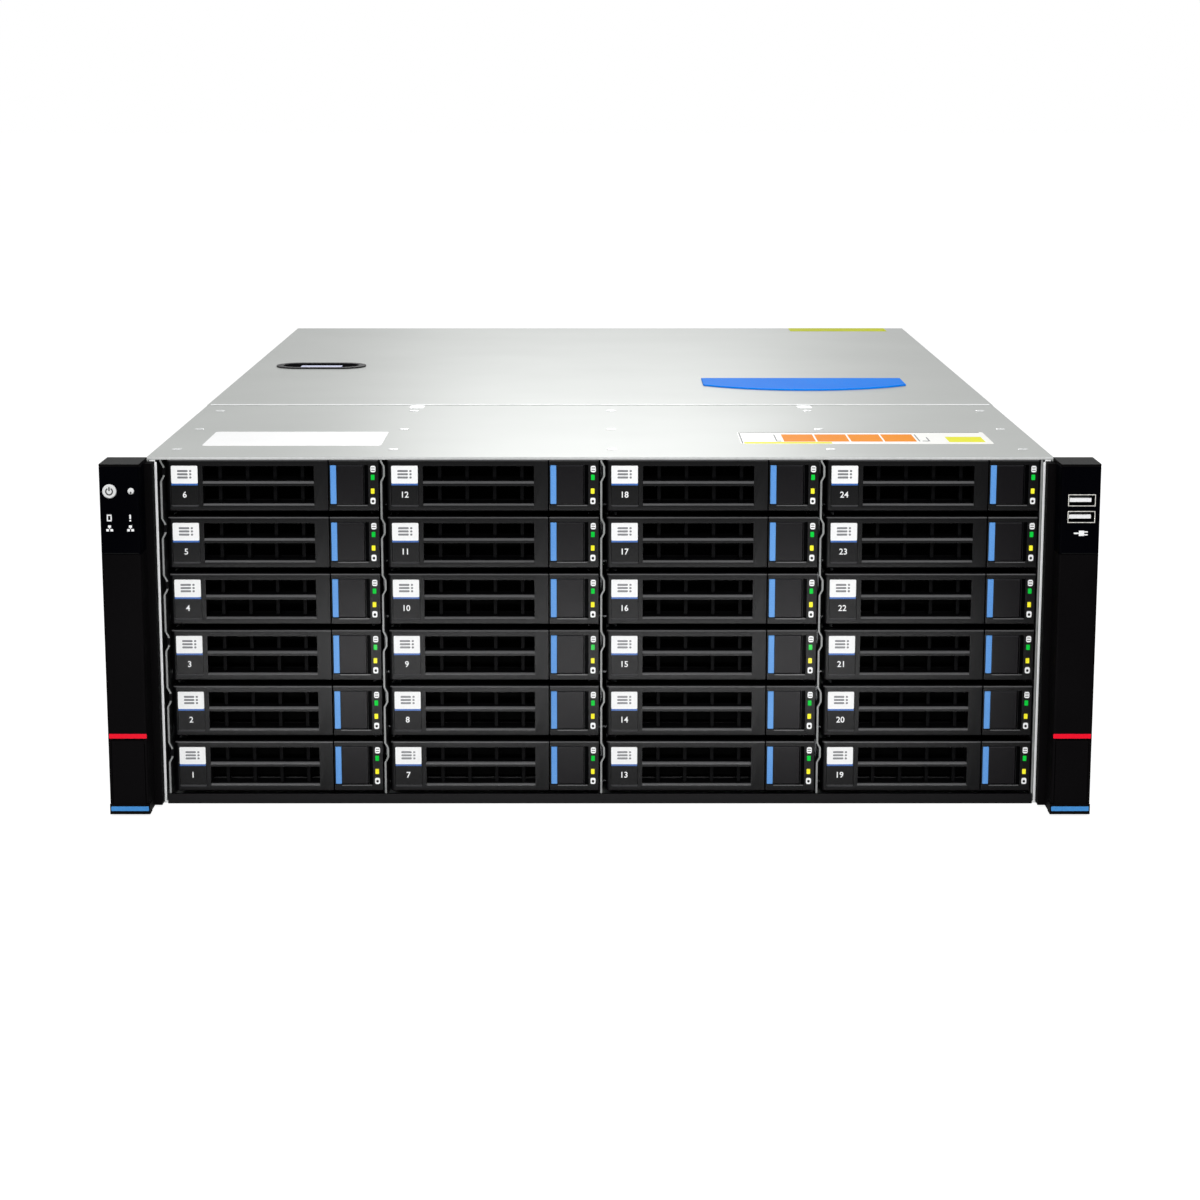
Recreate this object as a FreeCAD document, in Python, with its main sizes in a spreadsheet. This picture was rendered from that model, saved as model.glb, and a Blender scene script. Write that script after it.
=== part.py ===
import FreeCAD, Part
import math
import os
import re

import Sketcher

# A 4U rack storage server with 24 drive bays in front.
# Everything is drawn from the body's front plane (y = 0 there, back is +Y) and from its underside (z = 0),
# then moved along Y so that the origin lies under the middle of the whole part.

SIZES = {
    # Whole body
    "rack_width": 482.6,
    "ear_overhang": 18.8,
    "body_height": 175,
    "body_depth": 680,
    "rear_reach": 30,
    # Sheet metal of the pan and the covers
    "steel": 1.2,
    "cover_steel": 1.2,
    "cover_gap": 0.3,
    "cover_skirt": 12,
    "front_cover_depth": 209.8,
    "cover_seam": 0.6,
    "pan_flange": 3,
    "hem_width": 3.8,
    "slide_gap": 0.3,
    # Drive cage
    "bay_columns": 4,
    "bay_rows": 6,
    "cage_side_room": 7.6,
    "first_row": 6.2,
    "row_gap": 3,
    "cage_shift": 0.6,
    "cage_depth": 170,
    "cage_clear": 0.2,
    "divider_steel": 1,
    "bump_reach": 2.2,
    "bump_height": 10,
    "bump_depth": 10,
    "bump_drop": 5.7,
    "bump_slope": 2.6,
    "ledge_front": 17,
    "ledge_short": 2,
    "ledge_steel": 1,
    "ledge_inset": 0.2,
    "sill_height": 5,
    "sill_depth": 1.5,
    "sill_inset": 4.4,
    # Drive carrier, from its own lower left front corner
    "carrier_gap": 2.1,
    "carrier_far_gap": 0.7,
    "block_width": 24.3,
    "seam_gap": 0.5,
    "handle_depth": 9,
    "handle_round": 3,
    "window_left": 17.9,
    "window_end": 7,
    "window_low": 3.7,
    "window_top": 3,
    "bar_low": 12.5,
    "bar_high": 14.8,
    "rib_lead": 8,
    "rib_trail": 6,
    "rib_count": 4,
    "rib_width": 1.8,
    "rib_back": 4,
    "label_left": 2.2,
    "label_right": 15.8,
    "label_low": 2.8,
    "label_top": 2.7,
    "label_sink": 0.4,
    "pin_radius": 1,
    "pin_clear": 0.05,
    "hinge_radius": 2,
    "hinge_low": 0.3,
    "hinge_wall": 0.6,
    "hinge_notch": 8,
    "tray_front": 11,
    "tray_bar": 3.5,
    "tray_room": 10,
    "rail_width": 1.2,
    "rail_low": 1.5,
    "tray_window_left": 8,
    "tray_window_end": 3.9,
    "tray_window_low": 4.5,
    "tray_window_top": 4.4,
    "button_lead": 0.5,
    "button_width": 16.3,
    "button_low": 3.5,
    "button_top": 2.7,
    "button_depth": 6,
    "button_travel": 2,
    "button_room": 0.25,
    "touch_bar": 3,
    "light_width": 6,
    "light_end": 0.7,
    "light_low": 2.6,
    "light_top": 2.4,
    "light_sink": 0.5,
    "drive_side_gap": 0.3,
    "drive_front": 14.8,
    "drive_past_tray": 1.8,
    "drive_head_room": 3.4,
    "drive_low": 0.2,
    "lid_height": 2,
    "lid_inset": 2.5,
    # Backplane
    "backplane_steel": 2,
    "backplane_low": 3,
    "backplane_top": 1.8,
    "backplane_side": 5.8,
    "backplane_slot": 60,
    "backplane_slot_height": 9,
    "backplane_slot_rise": 3,
    "connector_width": 42,
    "connector_height": 7.4,
    "connector_left": 31,
    "connector_low": 2.4,
    "connector_slot_width": 33,
    "connector_slot_height": 2,
    "connector_slot_depth": 4,
    # Rack ears
    "ear_reach": 25,
    "ear_width": 19.3,
    "ear_step": 3.6,
    "ear_step_reach": 8,
    "ear_step_drop": 2,
    "ear_bottom": 1,
    "ear_round": 1.2,
    "ear_wall": 1.4,
    "ear_back_wall": 2,
    "panel_height": 42.8,
    "panel_depth": 15,
    "panel_clear": 0.15,
    "flap_top": 39,
    "flap_tab_top": 6.5,
    "flap_thick": 2.5,
    "flap_clear": 0.3,
    "flap_axis": 37.3,
    "flap_stub_radius": 0.8,
    "stub_skin": 0.4,
    "tab_depth": 6,
    "tab_proud": 0.6,
    "tab_low": 1.1,
    "tab_past": 0.4,
    "tab_room": 1,
    "rack_hole_inset": 8.75,
    "rack_hole_height": 22.2,
    "rack_hole_radius": 3.4,
    "screw_room_radius": 5.5,
    "bracket_steel": 2,
    "bracket_leg_steel": 1.5,
    "bracket_leg": 70,
    "bracket_low": 4,
    "bracket_top": 15,
    # Buttons and sockets in the ears
    "power_inset": 5,
    "button_drop": 13.1,
    "power_radius": 3.4,
    "power_travel": 1.2,
    "button_proud": 0.8,
    "identify_inset": 15.3,
    "identify_radius": 1.6,
    "identify_travel": 0.8,
    "identify_proud": 0.4,
    "bore_clear": 0.2,
    "button_stem": 11,
    "button_chamfer": 0.4,
    "usb_inset": 9,
    "usb_width": 13.3,
    "usb_height": 5.8,
    "usb_drop": 17.5,
    "usb_step": 8.1,
    "usb_proud": 0.1,
    "usb_wall": 0.4,
    "usb_depth": 12,
    "usb_clear": 0.15,
    "tongue_width": 10.6,
    "tongue_gap": 0.4,
    "tongue_height": 1.9,
    "tongue_sink": 1,
    # Fans
    "fan_wall_place": 204,
    "fan_count": 3,
    "fan_size": 120,
    "fan_depth": 38,
    "fan_bore": 57,
    "fan_strut": 6,
    "fan_strut_root": 1,
    "fan_strut_depth": 4,
    "motor_radius": 18,
    "motor_depth": 5,
    "hub_radius": 20,
    "hub_front": 4,
    "hub_back": 32.5,
    "shaft_radius": 2,
    "shaft_back": 37,
    "blade_count": 7,
    "blade_root": 19,
    "blade_tip": 53.5,
    "blade_thick": 2,
    "blade_rise": 10,
    "blade_root_inset": 2,
    "blade_tip_inset": 4.5,
    # Mainboard
    "board_side_gap": 7.8,
    "board_shelf_gap": 13,
    "board_front": 268,
    "board_rear_gap": 16.8,
    "board_level": 9,
    "board_steel": 1.6,
    "standoff_radius": 3,
    "standoff_inset": 10,
    "memory_count": 8,
    "memory_pitch": 9.5,
    "memory_front": 310,
    "memory_length": 133,
    "memory_steel": 1.4,
    "memory_high": 31,
    "socket_width": 6.5,
    "socket_height": 9,
    "socket_length": 142,
    "cooler_front": 335,
    "cooler_size": 90,
    "cooler_base": 6,
    "cooler_height": 62,
    "fin_count": 14,
    "fin_steel": 1.2,
    "chip_size": 60,
    "chip_height": 4,
    "slot_count": 7,
    "slot_margin": 17,
    "slot_pitch": 20.32,
    "slot_rear_gap": 12,
    "slot_length": 90,
    "slot_width": 7.5,
    "slot_height": 11,
    "card_length": 172,
    "card_rear_gap": 6.8,
    "card_steel": 1.6,
    "card_block_front": 60,
    "card_block_low": 30,
    "card_block_size": 40,
    "card_block_thick": 7,
    "card_tab_low": 40,
    "card_tab_height": 20,
    "card_height": 98,
    # Rear panel
    "slot_window": 13,
    "slot_window_low": 24,
    "slot_window_high": 122,
    "slot_cover": 18.4,
    "slot_cover_low": 16,
    "slot_cover_high": 130,
    "slot_cover_steel": 1,
    "port_clear": 0.4,
    "vent_count": 16,
    "vent_card_gap": 45,
    "vent_side": 6.3,
    "vent_width": 9,
    "vent_low": 96,
    "vent_top": 12.6,
    # Rear sockets
    "jack_margin": 14,
    "jack_pitch": 20,
    "jack_count": 3,
    "jack_width": 16,
    "jack_height": 13.5,
    "jack_hole_width": 12,
    "jack_hole_height": 8.5,
    "jack_hole_depth": 12,
    "port_seat": 10,
    "port_proud": 1,
    "stack_gap": 12,
    "stack_width": 14,
    "stack_height": 15.6,
    "stack_hole_width": 12.4,
    "stack_hole_height": 5,
    "stack_pitch": 7.2,
    "stack_tongue": 1.8,
    "stack_tongue_side": 0.7,
    "screen_gap": 11,
    "screen_port_width": 31,
    "screen_port_height": 12.5,
    "screen_hole_side": 7,
    "screen_hole_low": 2,
    "screen_hole_top": 1.5,
    "screen_mouth_foot": 9,
    "screen_mouth_head": 7.5,
    "screen_mouth_low": 2.5,
    "screen_mouth_top": 2,
    "screen_mouth_reach": 5.2,
    # Power supplies
    "supply_side_gap": 4.8,
    "supply_width": 73.5,
    "supply_height": 40,
    "supply_length": 181.5,
    "supply_proud": 1.5,
    "supply_notch": 0.8,
    "shelf_clear": 0.5,
    "shelf_wall_gap": 3.5,
    "shelf_wall_rise": 4.5,
    "shelf_lead": 10,
    "inlet_width": 27,
    "inlet_height": 20,
    "inlet_depth": 15,
    "inlet_margin": 5,
    "inlet_pin_length": 9,
    "inlet_pin_width": 2,
    "inlet_pin_height": 5,
    "inlet_pin_spread": 7,
    "inlet_pin_lift": 3,
    "pull_left": 60,
    "pull_width": 9,
    "pull_margin": 5,
    "pull_bar": 4,
    "grille_radius": 11.25,
    "grille_place": 44,
    "grille_depth": 3,
    # Cover latch and grip
    "latch_side": 15.3,
    "latch_front": 401,
    "latch_width": 57.2,
    "latch_length": 32,
    "latch_round": 15.5,
    "latch_lip": 2.6,
    "latch_lip_high": 0.8,
    "latch_wall": 1.6,
    "latch_deep": 12,
    "latch_clear": 0.3,
    "lever_width": 26,
    "lever_front": 6,
    "lever_thick": 4,
    "lever_axis_back": 6,
    "lever_axis_low": 5.5,
    "lever_pin": 1.5,
    "lever_barrel": 3.2,
    "lever_post": 4,
    "lever_post_half": 3,
    "lever_pin_inset": 2,
    "grip_inset": 38.5,
    "grip_width": 122,
    "grip_back": 341,
    "grip_side": 34,
    "grip_radius": 84.6,
    "grip_high": 1,
    # How far a cut runs past the face that it opens
    "cut_past": 1,
}

doc = FreeCAD.newDocument("storage_server")
sheet = doc.addObject("Spreadsheet::Sheet", "Dims")
for row, (alias, value) in enumerate(SIZES.items(), start=1):
    sheet.set(f"A{row}", alias)
    sheet.set(f"B{row}", str(value))
    sheet.setAlias(f"B{row}", alias)
doc.recompute()

# Places that several pieces share
FRONT = "(ear_reach + button_proud - body_depth - rear_reach) / 2"
EAR_OUTER = "(rack_width / 2)"
EAR_INNER = f"({EAR_OUTER} - ear_width)"
BODY_HALF = f"({EAR_OUTER} - ear_overhang)"
PAN_HALF = f"({BODY_HALF} - cover_steel - cover_gap)"
PAN_INNER = f"({PAN_HALF} - steel)"
PAN_TOP = "(body_height - cover_steel)"
PAN_ROOM_TOP = f"({PAN_TOP} - steel)"
REAR_WALL = "(body_depth - steel)"
BOARD_TOP = "(board_level + board_steel)"
SUPPLY_BACK = "(body_depth + supply_proud)"
SUPPLY_FRONT = f"({SUPPLY_BACK} - supply_length)"
SUPPLY_LEFT = f"({PAN_INNER} - supply_side_gap - supply_width)"
SUPPLY_LOW = "(steel + slide_gap)"
SHELF_LOW = f"({SUPPLY_LOW} + supply_height + shelf_clear)"
SHELF_WALL = f"({SUPPLY_LEFT} - shelf_wall_gap)"
BOARD_LEFT = f"(board_side_gap - {PAN_INNER})"
BOARD_RIGHT = f"({SHELF_WALL} - board_shelf_gap)"
BOARD_BACK = f"({REAR_WALL} - board_rear_gap)"
SLOT_FIRST = f"({BOARD_LEFT} + slot_margin)"
CARD_X = f"({SLOT_FIRST} + (slot_count - 1) * slot_pitch)"
COLUMN_PITCH = f"((2 * {PAN_INNER} - cage_side_room) / bay_columns)"
ROW_PITCH = f"(({PAN_TOP} - cage_clear - first_row + row_gap) / bay_rows)"
CARRIER_WIDTH = f"({COLUMN_PITCH} - divider_steel - carrier_gap - carrier_far_gap)"
CARRIER_HEIGHT = f"({ROW_PITCH} - row_gap)"
TRAY_BACK = "(cage_depth - tray_room)"
DRIVE_BACK = f"({TRAY_BACK} + drive_past_tray)"
RAIL_HIGH = f"({CARRIER_HEIGHT} - rail_low)"


def bound(text):
    """The same formula with each size read from the sheet; a word before a bracket is a function."""
    return re.sub(r"[a-z_]+\b(?!\()", lambda word: "Dims." + word.group(), text)


def number(text):
    """What a formula comes to with the sizes as they are."""
    return float(sheet.evalExpression(bound(text)))


def tie(thing, place, text):
    thing.setExpression(place, bound(text))


def move(thing, x="0", y=FRONT, z="0"):
    """Set a piece's place, with each coordinate tied to the sheet."""
    for axis, text in zip("xyz", (x, y, z)):
        tie(thing, "Placement.Base." + axis, text)
    return thing


def new_body(label):
    body = doc.addObject("PartDesign::Body", label)
    body.Label = label
    return body


def origin_of(body, role):
    return next(feature for feature in body.Origin.OriginFeatures if feature.Role == role)


def rect(left, low, right, high):
    """The corners of an upright rectangle, counter-clockwise."""
    return [(left, low), (right, low), (right, high), (left, high)]


def mirrored(points):
    """The same outline on the other side of x = 0."""
    return [(f"-({x})", y) for x, y in reversed(points)]


def rounded_rect(left, low, right, high, radius):
    """A rectangle whose corners are arcs; a third value starts an arc of that radius to the next point."""
    return [
        (f"{left} + {radius}", low),
        (f"{right} - {radius}", low, radius),
        (right, f"{low} + {radius}"),
        (right, f"{high} - {radius}", radius),
        (f"{right} - {radius}", high),
        (f"{left} + {radius}", high, radius),
        (left, f"{high} - {radius}"),
        (left, f"{low} + {radius}", radius),
    ]


def hexagon(x, y, radius):
    """A hexagon with two corners on the line of x."""
    corners = []
    for sixth in range(6):
        across = math.cos(sixth * math.pi / 3)
        along = math.sin(sixth * math.pi / 3)
        corners.append((f"{x} + {across:.4f} * {radius}", f"{y} + {along:.4f} * {radius}"))
    return corners


def pin_down(sketch, edge, end, x, y):
    """Hold one point of a sketch at the place that two formulas give."""
    for kind, text in (("DistanceX", x), ("DistanceY", y)):
        index = sketch.addConstraint(Sketcher.Constraint(kind, -1, 1, edge, end, number(text)))
        tie(sketch, f"Constraints[{index}]", text)


def draw_edge(sketch, start, end, radius):
    """Add a line, or an arc that turns left, from one point to the next."""
    if radius is None:
        return sketch.addGeometry(Part.LineSegment(start, end), False)
    chord = end - start
    middle = (start + end) * 0.5
    rise = math.sqrt(max(radius * radius - chord.Length * chord.Length / 4, 0))
    centre = middle + FreeCAD.Vector(-chord.y, chord.x, 0).normalize() * rise
    first = math.atan2(start.y - centre.y, start.x - centre.x)
    last = math.atan2(end.y - centre.y, end.x - centre.x)
    if last < first:
        last += 2 * math.pi
    circle = Part.Circle(centre, FreeCAD.Vector(0, 0, 1), radius)
    return sketch.addGeometry(Part.ArcOfCircle(circle, first, last), False)


def draw_loop(sketch, points):
    """Add a closed outline with every corner tied to the sheet."""
    places = [FreeCAD.Vector(number(point[0]), number(point[1]), 0) for point in points]
    edges = []
    for index, point in enumerate(points):
        radius = number(point[2]) if len(point) == 3 else None
        following = places[(index + 1) % len(places)]
        edges.append(draw_edge(sketch, places[index], following, radius))
    for index, edge in enumerate(edges):
        following = edges[(index + 1) % len(edges)]
        sketch.addConstraint(Sketcher.Constraint("Coincident", edge, 2, following, 1))
    for edge, point in zip(edges, points):
        pin_down(sketch, edge, 1, point[0], point[1])
        if len(point) == 3:
            index = sketch.addConstraint(Sketcher.Constraint("Radius", edge, number(point[2])))
            tie(sketch, f"Constraints[{index}]", point[2])


def draw_circle(sketch, x, y, radius):
    centre = FreeCAD.Vector(number(x), number(y), 0)
    circle = Part.Circle(centre, FreeCAD.Vector(0, 0, 1), number(radius))
    edge = sketch.addGeometry(circle, False)
    pin_down(sketch, edge, 3, x, y)
    index = sketch.addConstraint(Sketcher.Constraint("Radius", edge, number(radius)))
    tie(sketch, f"Constraints[{index}]", radius)


def sketch_on(body, role, offset, loops, circles):
    sketch = body.newObject("Sketcher::SketchObject", body.Name + "_sketch")
    sketch.AttachmentSupport = [(origin_of(body, role), "")]
    sketch.MapMode = "FlatFace"
    tie(sketch, "AttachmentOffset.Base.z", offset)
    for points in loops:
        draw_loop(sketch, points)
    for x, y, radius in circles:
        draw_circle(sketch, x, y, radius)
    return sketch


def extrude(body, kind, sketch, length, turned):
    feature = body.newObject("PartDesign::" + kind, body.Name + "_" + kind.lower())
    feature.Profile = sketch
    feature.Reversed = turned
    tie(feature, "Length", length)
    return feature


def pad_back(body, loops, y, depth, circles=()):
    """A front-view outline, given depth towards the back."""
    return extrude(body, "Pad", sketch_on(body, "XZ_Plane", f"-({y})", loops, circles), depth, True)


def cut_back(body, loops, y, depth, circles=()):
    return extrude(body, "Pocket", sketch_on(body, "XZ_Plane", f"-({y})", loops, circles), depth, False)


def pad_up(body, loops, z, height, circles=()):
    """A top-view outline, raised."""
    return extrude(body, "Pad", sketch_on(body, "XY_Plane", z, loops, circles), height, False)


def cut_up(body, loops, z, height, circles=()):
    return extrude(body, "Pocket", sketch_on(body, "XY_Plane", z, loops, circles), height, True)


def pad_right(body, loops, x, width, circles=()):
    """A side-view outline, drawn as back and up, given width towards +X."""
    return extrude(body, "Pad", sketch_on(body, "YZ_Plane", x, loops, circles), width, False)


def cut_right(body, loops, x, width, circles=()):
    return extrude(body, "Pocket", sketch_on(body, "YZ_Plane", x, loops, circles), width, True)


def repeat(body, features, axis, pitch, count, axis_two=None, pitch_two=None, count_two=None):
    """Repeat features along one axis, or along two."""
    pattern = body.newObject("PartDesign::LinearPattern", body.Name + "_row")
    pattern.Originals = features
    pattern.Direction = (origin_of(body, axis), [""])
    tie(pattern, "Length", f"({pitch}) * ({count} - 1)")
    tie(pattern, "Occurrences", count)
    if axis_two:
        pattern.Direction2 = (origin_of(body, axis_two), [""])
        tie(pattern, "Length2", f"({pitch_two}) * ({count_two} - 1)")
        tie(pattern, "Occurrences2", count_two)
    body.Tip = pattern
    return pattern


def turn(body, points):
    """A half outline in top view, turned about the Y axis."""
    feature = body.newObject("PartDesign::Revolution", body.Name + "_turn")
    feature.Profile = sketch_on(body, "XY_Plane", "0", [points], [])
    feature.ReferenceAxis = (origin_of(body, "Y_Axis"), [""])
    feature.Angle = 360
    return feature


def mirror(label, source):
    """The left-hand twin of a right-hand piece, from where that piece stands."""
    twin = doc.addObject("Part::Mirroring", label)
    twin.Label = label
    twin.Source = source
    twin.Normal = FreeCAD.Vector(1, 0, 0)
    return twin


def group(label, members):
    """Several separate solids that make one sub-part."""
    bundle = doc.addObject("Part::Compound", label)
    bundle.Label = label
    bundle.Links = members
    return bundle


pieces = []


def finish(piece, x="0", y=FRONT, z="0"):
    """Put a piece in its place and list it as one of the sub-parts."""
    move(piece, x, y, z)
    pieces.append(piece)
    return piece


# Chassis pan: floor, side walls, narrow top flanges, front hems, and standoffs for the mainboard
pan = new_body("chassis_pan")
right_half = [
    (PAN_HALF, "0"),
    (PAN_HALF, PAN_TOP),
    (f"{PAN_HALF} - pan_flange", PAN_TOP),
    (f"{PAN_HALF} - pan_flange", PAN_ROOM_TOP),
    (PAN_INNER, PAN_ROOM_TOP),
    (PAN_INNER, "steel"),
]
pad_back(pan, [right_half + mirrored(right_half)], "0", "body_depth")
hem = rect(f"{PAN_HALF} - hem_width", "steel", PAN_INNER, PAN_ROOM_TOP)
pad_back(pan, [hem, mirrored(hem)], "0", "steel")
standoffs = []
STANDOFF_X = (
    f"({BOARD_LEFT} + standoff_inset)",
    f"({BOARD_LEFT} + {BOARD_RIGHT}) / 2",
    f"({BOARD_RIGHT} - standoff_inset)",
)
STANDOFF_Y = (
    "(board_front + standoff_inset)",
    f"(board_front + {BOARD_BACK}) / 2",
    f"({BOARD_BACK} - 2 * standoff_inset)",
)
for across in STANDOFF_X:
    for along in STANDOFF_Y:
        standoffs.append(hexagon(across, along, "standoff_radius"))
pad_up(pan, standoffs, "steel", "board_level - steel")
finish(pan)


# Top covers: flat sheets with skirts that hang outside the pan's walls
def cover(label, front, length):
    body = new_body(label)
    skirt = "(body_height - cover_skirt)"
    right = [
        (f"{BODY_HALF} - cover_steel", PAN_TOP),
        (f"{BODY_HALF} - cover_steel", skirt),
        (BODY_HALF, skirt),
        (BODY_HALF, "body_height"),
    ]
    pad_back(body, [right + mirrored(right)], front, length)
    return body


finish(cover("front_cover", "0", "front_cover_depth"))
REAR_COVER_FRONT = "(front_cover_depth + cover_seam)"
rear_cover = cover("rear_cover", REAR_COVER_FRONT, f"body_depth - {REAR_COVER_FRONT}")

LATCH_LEFT = f"(latch_side - {BODY_HALF})"
LATCH_RIGHT = f"({LATCH_LEFT} + latch_width)"
LATCH_BACK = "(latch_front + latch_length)"


def latch_outline(inset):
    """The latch cup's oval, drawn in by some amount."""
    return rounded_rect(
        f"({LATCH_LEFT} + {inset})",
        f"(latch_front + {inset})",
        f"({LATCH_RIGHT} - {inset})",
        f"({LATCH_BACK} - {inset})",
        f"(latch_round - {inset})",
    )


CUP_INSET = "(latch_lip + latch_clear)"
cut_up(rear_cover, [latch_outline("latch_lip")], f"{PAN_TOP} - cut_past", "cover_steel + 2 * cut_past")
finish(rear_cover)

# Latch cup: a lip on the cover, walls through it and a floor; the lever's pin crosses it
cup = new_body("latch_cup_shell")
CUP_LOW = "(body_height - latch_deep)"
pad_up(cup, [latch_outline("0")], "body_height", "latch_lip_high")
pad_up(cup, [latch_outline(CUP_INSET)], CUP_LOW, "latch_deep")
ROOM_INSET = f"({CUP_INSET} + latch_wall)"
cut_up(cup, [latch_outline(ROOM_INSET)], f"{CUP_LOW} + latch_wall", "latch_deep + latch_lip_high")
LEVER_Y = f"({LATCH_BACK} - {ROOM_INSET} - lever_axis_back)"
LEVER_Z = "(body_height - lever_axis_low)"
LEVER_X = f"({LATCH_LEFT} + latch_width / 2)"
lever_pin = new_body("latch_pin")
PIN_SPAN = f"(latch_width - 2 * {ROOM_INSET})"
pin_circle = [(LEVER_Y, LEVER_Z, "lever_pin")]
pin_left = f"{LEVER_X} - {PIN_SPAN} / 2 + lever_pin_inset"
pad_right(lever_pin, [], pin_left, f"{PIN_SPAN} - 2 * lever_pin_inset", pin_circle)
post = rect(
    f"{LEVER_Y} - lever_post_half",
    f"{CUP_LOW} + latch_wall",
    f"{LEVER_Y} + lever_post_half",
    f"{LEVER_Z} + lever_post_half",
)
pad_right(cup, [post], f"{LEVER_X} - lever_width / 2 - slide_gap - lever_post", "lever_post")
pad_right(cup, [post], f"{LEVER_X} + lever_width / 2 + slide_gap", "lever_post")
cut_right(cup, [], f"{LEVER_X} - latch_width", "2 * latch_width", pin_circle)
finish(group("latch_cup", [cup, lever_pin]))

# Cover latch: a lever with a barrel around the pin
lever = new_body("cover_latch")
LEVER_FRONT = f"(latch_front + {ROOM_INSET} + lever_front)"
LEVER_LOW = "(body_height - lever_thick)"
lever_left = f"{LEVER_X} - lever_width / 2"
pad_right(lever, [], lever_left, "lever_width", [(LEVER_Y, LEVER_Z, "lever_barrel")])
lever_arm = rect(LEVER_FRONT, LEVER_LOW, LEVER_Y, "body_height")
pad_right(lever, [lever_arm], lever_left, "lever_width")
cut_right(lever, [], lever_left, "lever_width", [(LEVER_Y, LEVER_Z, "lever_pin + pin_clear")])
finish(lever)

# Push grip: a half-moon pad with a straight back edge and a bowed front
grip = new_body("cover_grip")
GRIP_RIGHT = f"({BODY_HALF} - grip_inset)"
GRIP_LEFT = f"({GRIP_RIGHT} - grip_width)"
half_moon = [
    (GRIP_LEFT, "grip_back - grip_side", "grip_radius"),
    (GRIP_RIGHT, "grip_back - grip_side"),
    (GRIP_RIGHT, "grip_back"),
    (GRIP_LEFT, "grip_back"),
]
pad_up(grip, [half_moon], "body_height", "grip_high")
finish(grip)


# Drive cage: upright dividers with bumps at their front edges and ledges that carry the trays
def divider(label, with_right):
    body = new_body(label)
    half = "(divider_steel / 2)"
    top = f"({PAN_TOP} - cage_clear)"
    pad_back(body, [rect(f"-{half}", "steel", half, top)], "0", "cage_depth")
    level = f"(first_row + {CARRIER_HEIGHT} - bump_drop)"
    features = []
    if with_right:
        bump = [
            (half, f"{level} - bump_height / 2"),
            ("bump_reach - slide_gap", f"{level} - bump_height / 2 + bump_slope"),
            ("bump_reach - slide_gap", f"{level} + bump_height / 2 - bump_slope"),
            (half, f"{level} + bump_height / 2"),
        ]
        hollow = [
            (f"-{half}", f"{level} - bump_height / 2"),
            ("bump_reach - slide_gap - divider_steel", f"{level} - bump_height / 2 + bump_slope"),
            ("bump_reach - slide_gap - divider_steel", f"{level} + bump_height / 2 - bump_slope"),
            (f"-{half}", f"{level} + bump_height / 2"),
        ]
        features.append(pad_back(body, [bump], "0", "bump_depth"))
        features.append(cut_back(body, [hollow], "0", "bump_depth"))
    ledge_top = "(first_row + rail_low - slide_gap)"
    left_reach = f"({half} + carrier_far_gap + rail_width - ledge_inset)"
    ledges = [rect(f"-{left_reach}", f"{ledge_top} - ledge_steel", f"-{half}", ledge_top)]
    if with_right:
        right_reach = f"({half} + carrier_gap + rail_width - ledge_inset)"
        ledges.append(rect(half, f"{ledge_top} - ledge_steel", right_reach, ledge_top))
    features.append(pad_back(body, ledges, "ledge_front", f"{TRAY_BACK} - ledge_short - ledge_front"))
    repeat(body, features, "Z_Axis", ROW_PITCH, "bay_rows")
    return body


def divider_place(index):
    return f"(cage_shift + ({index} - bay_columns / 2) * {COLUMN_PITCH})"


columns = int(number("bay_columns"))
rows = int(number("bay_rows"))
inner_divider = divider("inner_divider", True)
last_divider = divider("last_divider", False)
dividers = []
for index in range(columns):
    dividers.append(move(group(f"divider_{index + 1}", [inner_divider]), divider_place(index), "0"))
dividers.append(move(group(f"divider_{columns + 1}", [last_divider]), divider_place(columns), "0"))
sill = new_body("cage_sill")
sill_half = f"({PAN_HALF} - sill_inset)"
pad_back(sill, [rect(f"-{sill_half}", "0", sill_half, "sill_height")], "-sill_depth", "sill_depth")
finish(group("drive_cage", dividers + [sill]))

# Drive carrier: the tray holds the drive between two rails and ends in a fixed block at the front right
tray = new_body("tray")
rails = [
    ("0", "tray_front"),
    (CARRIER_WIDTH, "tray_front"),
    (CARRIER_WIDTH, TRAY_BACK),
    (f"{CARRIER_WIDTH} - rail_width", TRAY_BACK),
    (f"{CARRIER_WIDTH} - rail_width", "tray_front + tray_bar"),
    ("rail_width", "tray_front + tray_bar"),
    ("rail_width", TRAY_BACK),
    ("0", TRAY_BACK),
]
pad_up(tray, [rails], "rail_low", f"{RAIL_HIGH} - rail_low")
SEAM = f"({CARRIER_WIDTH} - block_width)"
tray_window_right = f"{SEAM} - tray_window_end"
air = rect("tray_window_left", "tray_window_low", tray_window_right, f"{CARRIER_HEIGHT} - tray_window_top")
cut_back(tray, [air], "tray_front - cut_past", "tray_bar + 2 * cut_past")
pad_back(tray, [rect(SEAM, "0", CARRIER_WIDTH, CARRIER_HEIGHT)], "0", "tray_front")
BUTTON_LEFT = f"({SEAM} + button_lead)"
BUTTON_RIGHT = f"({BUTTON_LEFT} + button_width)"
BUTTON_HIGH = f"({CARRIER_HEIGHT} - button_top)"
button_hole = rect(
    f"{BUTTON_LEFT} - button_room",
    "button_low - button_room",
    f"{BUTTON_RIGHT} + button_room",
    f"{BUTTON_HIGH} + button_room",
)
cut_back(tray, [button_hole], "-cut_past", "cut_past + button_depth + button_travel + slide_gap")
LIGHT_RIGHT = f"({CARRIER_WIDTH} - light_end)"
light_window = rect(f"{LIGHT_RIGHT} - light_width", "light_low", LIGHT_RIGHT, f"{CARRIER_HEIGHT} - light_top")
cut_back(tray, [light_window], "-cut_past", "cut_past + light_sink")

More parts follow.
